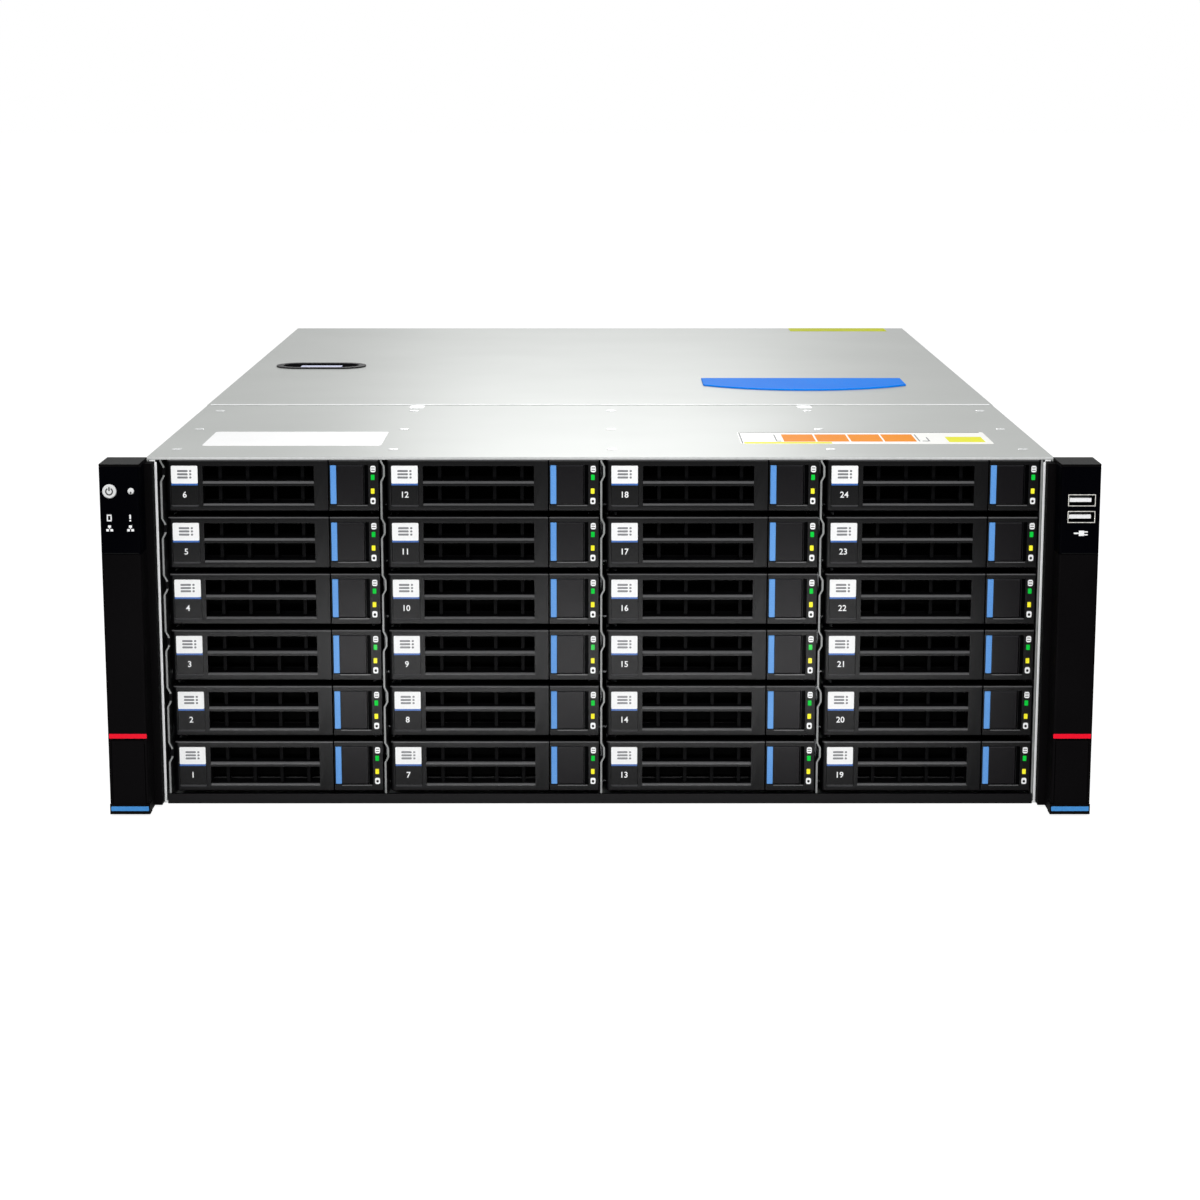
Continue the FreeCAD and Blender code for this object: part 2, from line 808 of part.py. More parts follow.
drive = new_body("drive")
DRIVE_LEFT = "(rail_width + drive_side_gap)"
DRIVE_RIGHT = f"({CARRIER_WIDTH} - {DRIVE_LEFT})"
LID_LOW = f"(drive_low + {ROW_PITCH} - drive_head_room - lid_height)"
drive_base = rect(DRIVE_LEFT, "drive_front", DRIVE_RIGHT, DRIVE_BACK)
pad_up(drive, [drive_base], "drive_low", f"{LID_LOW} - drive_low")
drive_lid = rect(
    f"{DRIVE_LEFT} + lid_inset",
    "drive_front + lid_inset",
    f"{DRIVE_RIGHT} - lid_inset",
    f"{DRIVE_BACK} - lid_inset",
)
pad_up(drive, [drive_lid], LID_LOW, "lid_height")

# The handle is hinged at its left end, so that end is rounded about the pin
handle = new_body("handle")
HANDLE_END = f"({SEAM} - seam_gap)"
handle_outline = [
    ("handle_round", "0"),
    (HANDLE_END, "0"),
    (HANDLE_END, "handle_depth"),
    ("0", "handle_depth"),
    ("0", "handle_round", "handle_round"),
]
pad_up(handle, [handle_outline], "0", CARRIER_HEIGHT)
WINDOW_RIGHT = f"({HANDLE_END} - window_end)"
WINDOW_HIGH = f"({CARRIER_HEIGHT} - window_top)"
windows = [
    rect("window_left", "window_low", WINDOW_RIGHT, "bar_low"),
    rect("window_left", "bar_high", WINDOW_RIGHT, WINDOW_HIGH),
]
cut_back(handle, windows, "-cut_past", "handle_depth + 2 * cut_past")
RIB_FIRST = "(window_left + rib_lead)"
rib = rect(f"{RIB_FIRST} - rib_width / 2", "window_low", f"{RIB_FIRST} + rib_width / 2", WINDOW_HIGH)
ribs = pad_back(handle, [rib], "rib_back", "handle_depth - rib_back")
rib_pitch = f"({WINDOW_RIGHT} - rib_trail - {RIB_FIRST}) / (rib_count - 1)"
repeat(handle, [ribs], "X_Axis", rib_pitch, "rib_count")
label_recess = rect("label_left", "label_low", "label_right", f"{CARRIER_HEIGHT} - label_top")
cut_back(handle, [label_recess], "-cut_past", "cut_past + label_sink")

button = new_body("button")
BAR_RIGHT = f"({BUTTON_LEFT} + touch_bar)"
pad_back(button, [rect(BAR_RIGHT, "button_low", BUTTON_RIGHT, BUTTON_HIGH)], "0", "button_depth")
touch_bar = new_body("touch_bar")
pad_back(touch_bar, [rect(BUTTON_LEFT, "button_low", BAR_RIGHT, BUTTON_HIGH)], "0", "button_depth")

# One bay shows the hinge itself: two round-ended ears on the tray carry a pin,
# and the handle is notched for them
hinge = new_body("hinge")
HINGE_LEFT = "(handle_round - hinge_radius)"
HINGE_RIGHT = "(handle_round + hinge_radius)"
hinge_ear = [
    (HINGE_LEFT, "handle_round", "hinge_radius"),
    ("handle_round", "handle_round - hinge_radius", "hinge_radius"),
    (HINGE_RIGHT, "handle_round"),
    (HINGE_RIGHT, "tray_front + tray_bar"),
    (HINGE_LEFT, "tray_front + tray_bar"),
]
pad_up(hinge, [hinge_ear], "hinge_low", "rail_low - hinge_low")
hinge_pin = ("handle_round", "handle_round", "pin_radius")
pad_up(hinge, [], "hinge_low", f"{CARRIER_HEIGHT} - 2 * hinge_low", [hinge_pin])
pad_up(hinge, [hinge_ear], RAIL_HIGH, "rail_low - hinge_low")
hinge_room = new_body("hinge_room")
notch = rect("-cut_past", "hinge_wall", "hinge_notch", "handle_depth + cut_past")
pad_up(hinge_room, [notch], "-cut_past", "rail_low + slide_gap + cut_past")
pin_room = ("handle_round", "handle_round", "pin_radius + pin_clear")
pad_up(hinge_room, [], "-cut_past", f"{CARRIER_HEIGHT} + 2 * cut_past", [pin_room])
pad_up(hinge_room, [notch], f"{RAIL_HIGH} - slide_gap", "rail_low + slide_gap + cut_past")
hinged_handle = doc.addObject("Part::Cut", "hinged_handle")
hinged_handle.Base = handle
hinged_handle.Tool = hinge_room

for column in range(columns):
    for row in range(rows):
        bay = column * rows + row + 1
        x = f"{divider_place(column)} + divider_steel / 2 + carrier_gap"
        z = f"first_row + {row} * {ROW_PITCH}"
        name = f"drive_carrier_{bay:02d}"
        if bay < columns * rows:
            finish(group(name, [tray, drive, handle, button, touch_bar]), x, FRONT, z)
        else:
            finish(group(name, [tray, drive, hinge]), x, FRONT, z)
            finish(group("carrier_handle", [hinged_handle]), x, FRONT, z)
            finish(group("carrier_button", [button, touch_bar]), x, FRONT, z)

# Backplane: a board behind the cage with air slots, and one connector for each drive
backplane = new_body("backplane_board")
BACKPLANE_HALF = f"({PAN_INNER} - backplane_side)"
plate = rect(f"-{BACKPLANE_HALF}", "backplane_low", BACKPLANE_HALF, f"{PAN_TOP} - backplane_top")
pad_back(backplane, [plate], "cage_depth", "backplane_steel")
CARRIER_FIRST = f"({divider_place(0)} + divider_steel / 2 + carrier_gap)"
slot_left = f"({CARRIER_FIRST} + ({CARRIER_WIDTH} - backplane_slot) / 2)"
slot_low = "(first_row + connector_low + connector_height + backplane_slot_rise)"
air_slot = rect(slot_left, slot_low, f"{slot_left} + backplane_slot", f"{slot_low} + backplane_slot_height")
air_cut = cut_back(backplane, [air_slot], "cage_depth - cut_past", "backplane_steel + 2 * cut_past")
repeat(backplane, [air_cut], "X_Axis", COLUMN_PITCH, "bay_columns", "Z_Axis", ROW_PITCH, "bay_rows")
finish(backplane)

connectors = new_body("backplane_connectors")
plug_left = f"({CARRIER_FIRST} + connector_left)"
plug_low = "(first_row + connector_low)"
plug_front = f"({DRIVE_BACK} + slide_gap)"
plug = rect(plug_left, plug_low, f"{plug_left} + connector_width", f"{plug_low} + connector_height")
slit_left = f"({plug_left} + (connector_width - connector_slot_width) / 2)"
slit_low = f"({plug_low} + (connector_height - connector_slot_height) / 2)"
slit = rect(slit_left, slit_low, f"{slit_left} + connector_slot_width", f"{slit_low} + connector_slot_height")
plugs = [
    pad_back(connectors, [plug], plug_front, f"cage_depth - {plug_front}"),
    cut_back(connectors, [slit], f"{plug_front} - cut_past", "cut_past + connector_slot_depth"),
]
repeat(connectors, plugs, "X_Axis", COLUMN_PITCH, "bay_columns", "Z_Axis", ROW_PITCH, "bay_rows")
finish(connectors)

# Rack brackets: steel angles that carry the ears and take the rack screws
bracket = new_body("rack_bracket")
angle = [
    (PAN_HALF, "0"),
    (EAR_OUTER, "0"),
    (EAR_OUTER, "bracket_steel"),
    (f"{PAN_HALF} + bracket_leg_steel", "bracket_steel"),
    (f"{PAN_HALF} + bracket_leg_steel", "bracket_leg"),
    (PAN_HALF, "bracket_leg"),
]
pad_up(bracket, [angle], "bracket_low", "body_height - bracket_top - bracket_low")
RACK_HOLE_X = f"({EAR_OUTER} - rack_hole_inset)"
rack_hole = (RACK_HOLE_X, "rack_hole_height", "rack_hole_radius")
cut_back(bracket, [], "-cut_past", "bracket_steel + 2 * cut_past", [rack_hole])
finish(group("rack_brackets", [bracket, mirror("left_rack_bracket", bracket)]))

# Ear housing, drawn for the right side: a deep box with a shallow step towards the bays that ends below
# the cover's edge, a room for the insert panel at the top and one for the flap at the bottom
ear = new_body("right_ear_housing")
ear_outline = [
    (f"{EAR_INNER} - ear_step", "0"),
    (f"{EAR_INNER} - ear_step", "-ear_step_reach"),
    (EAR_INNER, "-ear_step_reach"),
    (EAR_INNER, "-ear_reach + ear_round", "ear_round"),
    (f"{EAR_INNER} + ear_round", "-ear_reach"),
    (f"{EAR_OUTER} - ear_round", "-ear_reach", "ear_round"),
    (EAR_OUTER, "-ear_reach + ear_round"),
    (EAR_OUTER, "0"),
]
pad_up(ear, [ear_outline], "ear_bottom", "body_height - ear_bottom")
above_step = rect(f"{EAR_INNER} - ear_step - cut_past", "-ear_step_reach - cut_past", EAR_INNER, "cut_past")
cut_up(ear, [above_step], "body_height - ear_step_drop", "ear_step_drop + cut_past")
BEFORE_EAR = "(-ear_reach - cut_past)"
PANEL_LOW = f"({PAN_TOP} - panel_height)"
panel_room = rect(f"{EAR_INNER} - cut_past", PANEL_LOW, f"{EAR_OUTER} + cut_past", PAN_TOP)
cut_back(ear, [panel_room], BEFORE_EAR, "panel_depth + cut_past")
flap_room = rect(f"{EAR_INNER} + ear_wall", "0", f"{EAR_OUTER} - ear_wall", "flap_top")
cut_back(ear, [flap_room], BEFORE_EAR, "ear_reach + cut_past - ear_back_wall")
tab_room = rect(f"{EAR_INNER} - cut_past", "0", f"{EAR_OUTER} + cut_past", "flap_tab_top")
cut_back(ear, [tab_room], BEFORE_EAR, "tab_depth + tab_room + cut_past")
screw_room = (RACK_HOLE_X, "rack_hole_height", "screw_room_radius")
cut_back(ear, [], "-ear_back_wall - cut_past", "ear_back_wall + 2 * cut_past", [screw_room])
FLAP_Y = "(flap_thick / 2 - ear_reach)"
stub_room = (FLAP_Y, "flap_axis", "flap_stub_radius + pin_clear")
cut_right(ear, [], f"{EAR_INNER} + stub_skin", "ear_width - 2 * stub_skin", [stub_room])
finish(ear)
finish(mirror("left_ear_housing", ear), y="0")

# Ear flap: a plate that turns on two stubs below the ear's middle, with a wider pull tab at its foot
flap = new_body("right_ear_flap")
flap_left = f"({EAR_INNER} + ear_wall + flap_clear)"
flap_width = f"({EAR_OUTER} - ear_wall - flap_clear - {flap_left})"
tab_top = "(flap_tab_top - flap_clear)"
flap_outline = [
    ("-ear_reach", tab_top),
    ("flap_thick - ear_reach", tab_top),
    ("flap_thick - ear_reach", "flap_axis", "flap_thick / 2"),
    (FLAP_Y, "flap_axis + flap_thick / 2", "flap_thick / 2"),
    ("-ear_reach", "flap_axis"),
]
pad_right(flap, [flap_outline], flap_left, flap_width)
tab = rect("-ear_reach - tab_proud", "tab_low", "-ear_reach + tab_depth", tab_top)
pad_right(flap, [tab], f"{EAR_INNER} - tab_past", "ear_width + tab_past")
stub = [(FLAP_Y, "flap_axis", "flap_stub_radius")]
STUB_LEFT = f"({EAR_INNER} + stub_skin + flap_clear)"
pad_right(flap, [], STUB_LEFT, f"{EAR_OUTER} - stub_skin - flap_clear - {STUB_LEFT}", stub)
finish(flap)
finish(mirror("left_ear_flap", flap), y="0")


# Insert panels: blocks that fill the ears' upper rooms, flush with their fronts
def ear_panel(label):
    body = new_body(label)
    outline = [
        (EAR_INNER, "-ear_reach + ear_round", "ear_round"),
        (f"{EAR_INNER} + ear_round", "-ear_reach"),
        (f"{EAR_OUTER} - ear_round", "-ear_reach", "ear_round"),
        (EAR_OUTER, "-ear_reach + ear_round"),
        (EAR_OUTER, "-ear_reach + panel_depth"),
        (EAR_INNER, "-ear_reach + panel_depth"),
    ]
    pad_up(body, [outline], f"{PANEL_LOW} + panel_clear", "panel_height - 2 * panel_clear")
    return body


control = ear_panel("control_panel_right_hand")
POWER_X = f"({EAR_OUTER} - power_inset)"
IDENTIFY_X = f"({EAR_OUTER} - identify_inset)"
BUTTON_Z = "(body_height - button_drop)"
bores = (
    (POWER_X, "power_radius", "power_travel"),
    (IDENTIFY_X, "identify_radius", "identify_travel"),
)
for place, radius, travel in bores:
    bore = [(place, BUTTON_Z, f"{radius} + bore_clear")]
    cut_back(control, [], BEFORE_EAR, f"cut_past + button_stem + {travel} + slide_gap", bore)
finish(mirror("control_panel", control))


# Push buttons: turned, with a chamfered rim
def push_button(label, radius, proud, place):
    body = new_body(label)
    front = f"-ear_reach - {proud}"
    outline = [
        ("0", front),
        (f"{radius} - button_chamfer", front),
        (radius, f"{front} + button_chamfer"),
        (radius, "-ear_reach + button_stem"),
        ("0", "-ear_reach + button_stem"),
    ]
    turn(body, outline)
    finish(body, f"-{place}", FRONT, BUTTON_Z)


push_button("power_button", "power_radius", "button_proud", POWER_X)
push_button("identify_button", "identify_radius", "identify_proud", IDENTIFY_X)


USB_X = f"({EAR_OUTER} - usb_inset)"
USB_UPPER = "(body_height - usb_drop)"
USB_LOWER = f"({USB_UPPER} - usb_step)"


def usb_rect(level, grow):
    """A USB socket's outline at one level, made larger or smaller."""
    half_wide = f"(usb_width / 2 + {grow})"
    half_high = f"(usb_height / 2 + {grow})"
    left = f"{USB_X} - {half_wide}"
    return rect(left, f"{level} - {half_high}", f"{USB_X} + {half_wide}", f"{level} + {half_high}")


usb_panel = ear_panel("usb_panel")
holes = [usb_rect(level, "usb_clear") for level in (USB_UPPER, USB_LOWER)]
cut_back(usb_panel, holes, BEFORE_EAR, "cut_past + usb_depth + slide_gap")
finish(usb_panel)

sockets = []
for name, level in (("usb_socket_upper", USB_UPPER), ("usb_socket_lower", USB_LOWER)):
    shell = new_body(name)
    pad_back(shell, [usb_rect(level, "0")], "-ear_reach - usb_proud", "usb_depth + usb_proud")
    cut_back(shell, [usb_rect(level, "(-usb_wall)")], BEFORE_EAR, "cut_past + usb_depth - usb_wall")
    tongue = new_body(name + "_tongue")
    tongue_left = f"{USB_X} - usb_width / 2 + usb_wall + tongue_gap"
    tongue_low = f"{level} - tongue_height / 2"
    bar = rect(tongue_left, tongue_low, f"{tongue_left} + tongue_width", f"{tongue_low} + tongue_height")
    pad_back(tongue, [bar], "-ear_reach + tongue_sink", "usb_depth - usb_wall - tongue_sink")
    sockets += [shell, tongue]
finish(group("usb_sockets", sockets))

# Fan wall with three round openings, and the fans behind it
fan_wall = new_body("fan_wall")
wall = rect(f"-{PAN_INNER}", "steel", PAN_INNER, PAN_ROOM_TOP)
FAN_PITCH = f"((2 * {PAN_INNER} - fan_count * fan_size) / (fan_count + 1) + fan_size)"
FAN_Z = f"((steel + {PAN_ROOM_TOP}) / 2)"
fan_places = [f"({index} - (fan_count - 1) / 2) * {FAN_PITCH}" for index in range(int(number("fan_count")))]
openings = [(place, FAN_Z, "fan_bore") for place in fan_places]
pad_back(fan_wall, [wall], "fan_wall_place", "steel", openings)
finish(fan_wall)

frame = new_body("fan_frame")
fan_half = "(fan_size / 2)"
fan_square = rect(f"-{fan_half}", f"-{fan_half}", fan_half, fan_half)
pad_back(frame, [fan_square], "0", "fan_depth", [("0", "0", "fan_bore")])
arm = "(fan_bore + fan_strut_root)"
wide = "(fan_strut / 2)"
struts = [
    (f"-{arm}", f"-{wide}"),
    (f"-{wide}", f"-{wide}"),
    (f"-{wide}", f"-{arm}"),
    (wide, f"-{arm}"),
    (wide, f"-{wide}"),
    (arm, f"-{wide}"),
    (arm, wide),
    (wide, wide),
    (wide, arm),
    (f"-{wide}", arm),
    (f"-{wide}", wide),
    (f"-{arm}", wide),
]
pad_back(frame, [struts], "fan_depth - fan_strut_depth", "fan_strut_depth")
pad_back(frame, [], "fan_depth - motor_depth", "motor_depth", [("0", "0", "motor_radius")])
cut_back(frame, [], "0", "fan_depth + cut_past", [("0", "0", "shaft_radius + pin_clear")])
FAN_Y = "(fan_wall_place + steel)"
frames = []
for index, place in enumerate(fan_places, start=1):
    frames.append(move(group(f"fan_frame_{index}", [frame]), place, FAN_Y, FAN_Z))
finish(group("fan_frames", frames))

# Fan rotor: a hub with a shaft, and flat blades set at a slant, each shorter at its tip than at its root
rotor = new_body("fan_rotor")
pad_back(rotor, [], "hub_front", "hub_back - hub_front", [("0", "0", "hub_radius")])
pad_back(rotor, [], "hub_back", "shaft_back - hub_back", [("0", "0", "shaft_radius")])
BLADE_SLANT = "atan(2 * blade_rise / (hub_back - hub_front))"
BLADE_ROOT_HALF = f"(((hub_back - hub_front) / 2 - blade_root_inset) / cos({BLADE_SLANT}))"
BLADE_TIP_HALF = f"(((hub_back - hub_front) / 2 - blade_tip_inset) / cos({BLADE_SLANT}))"
blade_outline = [
    ("blade_root", f"-{BLADE_ROOT_HALF}"),
    ("blade_tip", f"-{BLADE_TIP_HALF}"),
    ("blade_tip", BLADE_TIP_HALF),
    ("blade_root", BLADE_ROOT_HALF),
]
slanted = sketch_on(rotor, "XY_Plane", f"-cos({BLADE_SLANT}) * blade_thick / 2", [blade_outline], [])
lean = FreeCAD.Rotation(FreeCAD.Vector(1, 0, 0), number(BLADE_SLANT))
slanted.AttachmentOffset = FreeCAD.Placement(slanted.AttachmentOffset.Base, lean)
tie(slanted, "AttachmentOffset.Rotation.Angle", BLADE_SLANT)
tie(slanted, "AttachmentOffset.Base.y", f"(hub_front + hub_back) / 2 + sin({BLADE_SLANT}) * blade_thick / 2")
blade = extrude(rotor, "Pad", slanted, "blade_thick", False)
around = rotor.newObject("PartDesign::PolarPattern", "blades")
around.Originals = [blade]
around.Axis = (origin_of(rotor, "Y_Axis"), [""])
around.Angle = 360
tie(around, "Occurrences", "blade_count")
rotor.Tip = around
for index, place in enumerate(fan_places, start=1):
    finish(group(f"fan_rotor_{index}", [rotor]), place, f"{FRONT} + {FAN_Y}", FAN_Z)

# Mainboard on its standoffs, with memory sockets, processor seats and card slots soldered on
board = new_body("mainboard")
board_plate = rect(BOARD_LEFT, "board_front", BOARD_RIGHT, BOARD_BACK)
MEMORY_WIDTH = "((memory_count - 1) * memory_pitch + socket_width)"
BOARD_GAP = f"(({BOARD_RIGHT} - {BOARD_LEFT} - 2 * cooler_size - {MEMORY_WIDTH}) / 4)"
COOLER_LEFT = f"({BOARD_LEFT} + {BOARD_GAP})"
MEMORY_LEFT = f"({COOLER_LEFT} + cooler_size + {BOARD_GAP})"
COOLER_PITCH = f"(cooler_size + 2 * {BOARD_GAP} + {MEMORY_WIDTH})"
pad_up(board, [board_plate], "board_level", "board_steel")
MEMORY_BACK = "(memory_front + socket_length)"
memory_socket = rect(MEMORY_LEFT, "memory_front", f"{MEMORY_LEFT} + socket_width", MEMORY_BACK)
memory_pad = pad_up(board, [memory_socket], BOARD_TOP, "socket_height")
repeat(board, [memory_pad], "X_Axis", "memory_pitch", "memory_count")
chip_left = f"({COOLER_LEFT} + (cooler_size - chip_size) / 2)"
chip_front = "(cooler_front + (cooler_size - chip_size) / 2)"
chip = rect(chip_left, chip_front, f"{chip_left} + chip_size", f"{chip_front} + chip_size")
chip_pad = pad_up(board, [chip], BOARD_TOP, "chip_height")
repeat(board, [chip_pad], "X_Axis", COOLER_PITCH, "2")
slot_back = f"({BOARD_BACK} - slot_rear_gap)"
slot_front = f"({slot_back} - slot_length)"
card_slot = rect(f"{SLOT_FIRST} - slot_width / 2", slot_front, f"{SLOT_FIRST} + slot_width / 2", slot_back)
card_pad = pad_up(board, [card_slot], BOARD_TOP, "slot_height")
repeat(board, [card_pad], "X_Axis", "slot_pitch", "slot_count")
finish(board)

memory = new_body("memory_modules")
module_front = "(memory_front + (socket_length - memory_length) / 2)"
module_left = f"({MEMORY_LEFT} + (socket_width - memory_steel) / 2)"
module = rect(module_left, module_front, f"{module_left} + memory_steel", f"{module_front} + memory_length")
modules = pad_up(memory, [module], f"{BOARD_TOP} + socket_height", "memory_high")
repeat(memory, [modules], "X_Axis", "memory_pitch", "memory_count")
finish(memory)

# Heatsinks: a base plate with a row of fins
cooler = new_body("heatsink")
base = rect("0", "0", "cooler_size", "cooler_size")
pad_up(cooler, [base], "0", "cooler_base")
fin_outline = rect("0", "0", "fin_steel", "cooler_size")
fin = pad_up(cooler, [fin_outline], "cooler_base", "cooler_height - cooler_base")
repeat(cooler, [fin], "X_Axis", "(cooler_size - fin_steel) / (fin_count - 1)", "fin_count")
coolers = []
for index in range(2):
    x = f"{COOLER_LEFT} + {index} * {COOLER_PITCH}"
    heatsink = group(f"heatsink_{index + 1}", [cooler])
    coolers.append(move(heatsink, x, "cooler_front", f"{BOARD_TOP} + chip_height"))
finish(group("heatsinks", coolers))

# Storage controller: a card in the last slot, with a finned block and its own bracket
CARD_LOW = f"({BOARD_TOP} + slot_height)"
CARD_BACK = f"({REAR_WALL} - card_rear_gap)"
CARD_FRONT = f"({CARD_BACK} - card_length)"
CARD_LEFT = f"({CARD_X} - card_steel / 2)"
CARD_RIGHT = f"({CARD_X} + card_steel / 2)"
card = new_body("controller_card")
pad_right(card, [rect(CARD_FRONT, CARD_LOW, CARD_BACK, f"{CARD_LOW} + card_height")], CARD_LEFT, "card_steel")
block_front = f"({CARD_FRONT} + card_block_front)"
block_low = f"({CARD_LOW} + card_block_low)"
block = rect(block_front, block_low, f"{block_front} + card_block_size", f"{block_low} + card_block_size")
pad_right(card, [block], CARD_RIGHT, "card_block_thick")
card_plate = new_body("controller_plate")
cover_left = f"({CARD_X} - slot_cover / 2)"
card_end = rect(cover_left, "slot_cover_low", f"{cover_left} + slot_cover", "slot_cover_high")
PLATE_FRONT = f"({REAR_WALL} - slot_cover_steel)"
pad_back(card_plate, [card_end], PLATE_FRONT, "slot_cover_steel")
card_tab = rect(CARD_LEFT, CARD_BACK, CARD_RIGHT, PLATE_FRONT)
pad_up(card_plate, [card_tab], f"{CARD_LOW} + card_tab_low", "card_tab_height")
finish(group("storage_controller", [card, card_plate]))

# Rear panel: windows for the card slots and the sockets, vents, and a notch for the power supplies
rear = new_body("rear_panel")
notch_left = f"({SUPPLY_LEFT} - supply_notch)"
notch_right = f"({SUPPLY_LEFT} + supply_width + supply_notch)"
notch_top = f"({SHELF_LOW} + {SUPPLY_LOW} + supply_height + supply_notch)"
rear_outline = [
    (f"-{PAN_INNER}", "steel"),
    (notch_left, "steel"),
    (notch_left, notch_top),
    (notch_right, notch_top),
    (notch_right, "steel"),
    (PAN_INNER, "steel"),
    (PAN_INNER, PAN_ROOM_TOP),
    (f"-{PAN_INNER}", PAN_ROOM_TOP),
]
JACK_FIRST = f"({BOARD_RIGHT} - jack_margin - (jack_count - 1) * jack_pitch - jack_width)"
STACK_LEFT = f"({JACK_FIRST} - stack_gap - stack_width)"
SCREEN_RIGHT = f"({STACK_LEFT} - screen_gap)"
SCREEN_LEFT = f"({SCREEN_RIGHT} - screen_port_width)"
SCREEN_TOP = f"({BOARD_TOP} + screen_port_height)"
screen_hole = rect(
    f"{SCREEN_LEFT} + screen_hole_side",
    f"{BOARD_TOP} + screen_hole_low",
    f"{SCREEN_RIGHT} - screen_hole_side",
    f"{SCREEN_TOP} - screen_hole_top",
)
stack_hole = rect(
    f"{STACK_LEFT} - port_clear",
    f"{BOARD_TOP} - port_clear",
    f"{STACK_LEFT} + stack_width + port_clear",
    f"{BOARD_TOP} + stack_height + port_clear",
)
pad_back(rear, [rear_outline, screen_hole, stack_hole], REAR_WALL, "steel")
jack_opening = rect(
    f"{JACK_FIRST} - port_clear",
    f"{BOARD_TOP} - port_clear",
    f"{JACK_FIRST} + jack_width + port_clear",
    f"{BOARD_TOP} + jack_height + port_clear",
)
BEFORE_REAR = f"({REAR_WALL} - cut_past)"
jack_cut = cut_back(rear, [jack_opening], BEFORE_REAR, "steel + 2 * cut_past")
repeat(rear, [jack_cut], "X_Axis", "jack_pitch", "jack_count")
opening_left = f"({SLOT_FIRST} - slot_window / 2)"
slot_opening = rect(opening_left, "slot_window_low", f"{opening_left} + slot_window", "slot_window_high")
window_cut = cut_back(rear, [slot_opening], BEFORE_REAR, "steel + 2 * cut_past")
repeat(rear, [window_cut], "X_Axis", "slot_pitch", "slot_count")
vent_first = f"({CARD_X} + vent_card_gap)"
vent = rect(vent_first, "vent_low", f"{vent_first} + vent_width", f"{PAN_ROOM_TOP} - vent_top")
vent_cut = cut_back(rear, [vent], BEFORE_REAR, "steel + 2 * cut_past")
vent_pitch = f"({PAN_INNER} - vent_side - vent_width - {vent_first}) / (vent_count - 1)"
repeat(rear, [vent_cut], "X_Axis", vent_pitch, "vent_count")
finish(rear)

slot_covers = new_body("slot_covers")
first_left = f"({SLOT_FIRST} - slot_cover / 2)"
blank = rect(first_left, "slot_cover_low", f"{first_left} + slot_cover", "slot_cover_high")
blanks = pad_back(slot_covers, [blank], PLATE_FRONT, "slot_cover_steel")
repeat(slot_covers, [blanks], "X_Axis", "slot_pitch", "slot_count - 1")
finish(slot_covers)

# Rear sockets on the mainboard's back edge: network jacks and a screen socket
jacks = new_body("network_jacks")
PORT_FRONT = f"({BOARD_BACK} - port_seat)"
PORT_BACK = "(body_depth + port_proud)"
PORT_LENGTH = f"({PORT_BACK} - {PORT_FRONT})"
MOUTH_FRONT = f"({PORT_BACK} - jack_hole_depth)"
jack = rect(JACK_FIRST, BOARD_TOP, f"{JACK_FIRST} + jack_width", f"{BOARD_TOP} + jack_height")
hole_left = f"({JACK_FIRST} + (jack_width - jack_hole_width) / 2)"
hole_low = f"({BOARD_TOP} + (jack_height - jack_hole_height) / 2)"
jack_hole = rect(hole_left, hole_low, f"{hole_left} + jack_hole_width", f"{hole_low} + jack_hole_height")
jack_features = [
    pad_back(jacks, [jack], PORT_FRONT, PORT_LENGTH),
    cut_back(jacks, [jack_hole], MOUTH_FRONT, "jack_hole_depth + cut_past"),
]
repeat(jacks, jack_features, "X_Axis", "jack_pitch", "jack_count")
stack = new_body("usb_stack")
stack_block = rect(STACK_LEFT, BOARD_TOP, f"{STACK_LEFT} + stack_width", f"{BOARD_TOP} + stack_height")
pad_back(stack, [stack_block], PORT_FRONT, PORT_LENGTH)
mouth_left = f"({STACK_LEFT} + (stack_width - stack_hole_width) / 2)"
mouth_low = f"({BOARD_TOP} + (stack_height - stack_pitch - stack_hole_height) / 2)"
mouth = rect(mouth_left, mouth_low, f"{mouth_left} + stack_hole_width", f"{mouth_low} + stack_hole_height")
stack_tongue_low = f"({mouth_low} + (stack_hole_height - stack_tongue) / 2)"
stack_tongue = rect(
    f"{mouth_left} + stack_tongue_side",
    stack_tongue_low,
    f"{mouth_left} + stack_hole_width - stack_tongue_side",
    f"{stack_tongue_low} + stack_tongue",
)
stack_features = [
    cut_back(stack, [mouth], MOUTH_FRONT, "jack_hole_depth + cut_past"),
    pad_back(stack, [stack_tongue], MOUTH_FRONT, "jack_hole_depth - tongue_sink"),
]
repeat(stack, stack_features, "Z_Axis", "stack_pitch", "2")
screen = new_body("screen_socket")
screen_outline = rect(SCREEN_LEFT, BOARD_TOP, SCREEN_RIGHT, SCREEN_TOP)
pad_back(screen, [screen_outline], PORT_FRONT, f"{REAR_WALL} - {PORT_FRONT}")
screen_mouth = [
    (f"{SCREEN_LEFT} + screen_mouth_foot", f"{BOARD_TOP} + screen_mouth_low"),
    (f"{SCREEN_RIGHT} - screen_mouth_foot", f"{BOARD_TOP} + screen_mouth_low"),
    (f"{SCREEN_RIGHT} - screen_mouth_head", f"{SCREEN_TOP} - screen_mouth_top"),
    (f"{SCREEN_LEFT} + screen_mouth_head", f"{SCREEN_TOP} - screen_mouth_top"),
]
pad_back(screen, [screen_mouth], REAR_WALL, "screen_mouth_reach")
finish(group("rear_sockets", [jacks, stack, screen]))

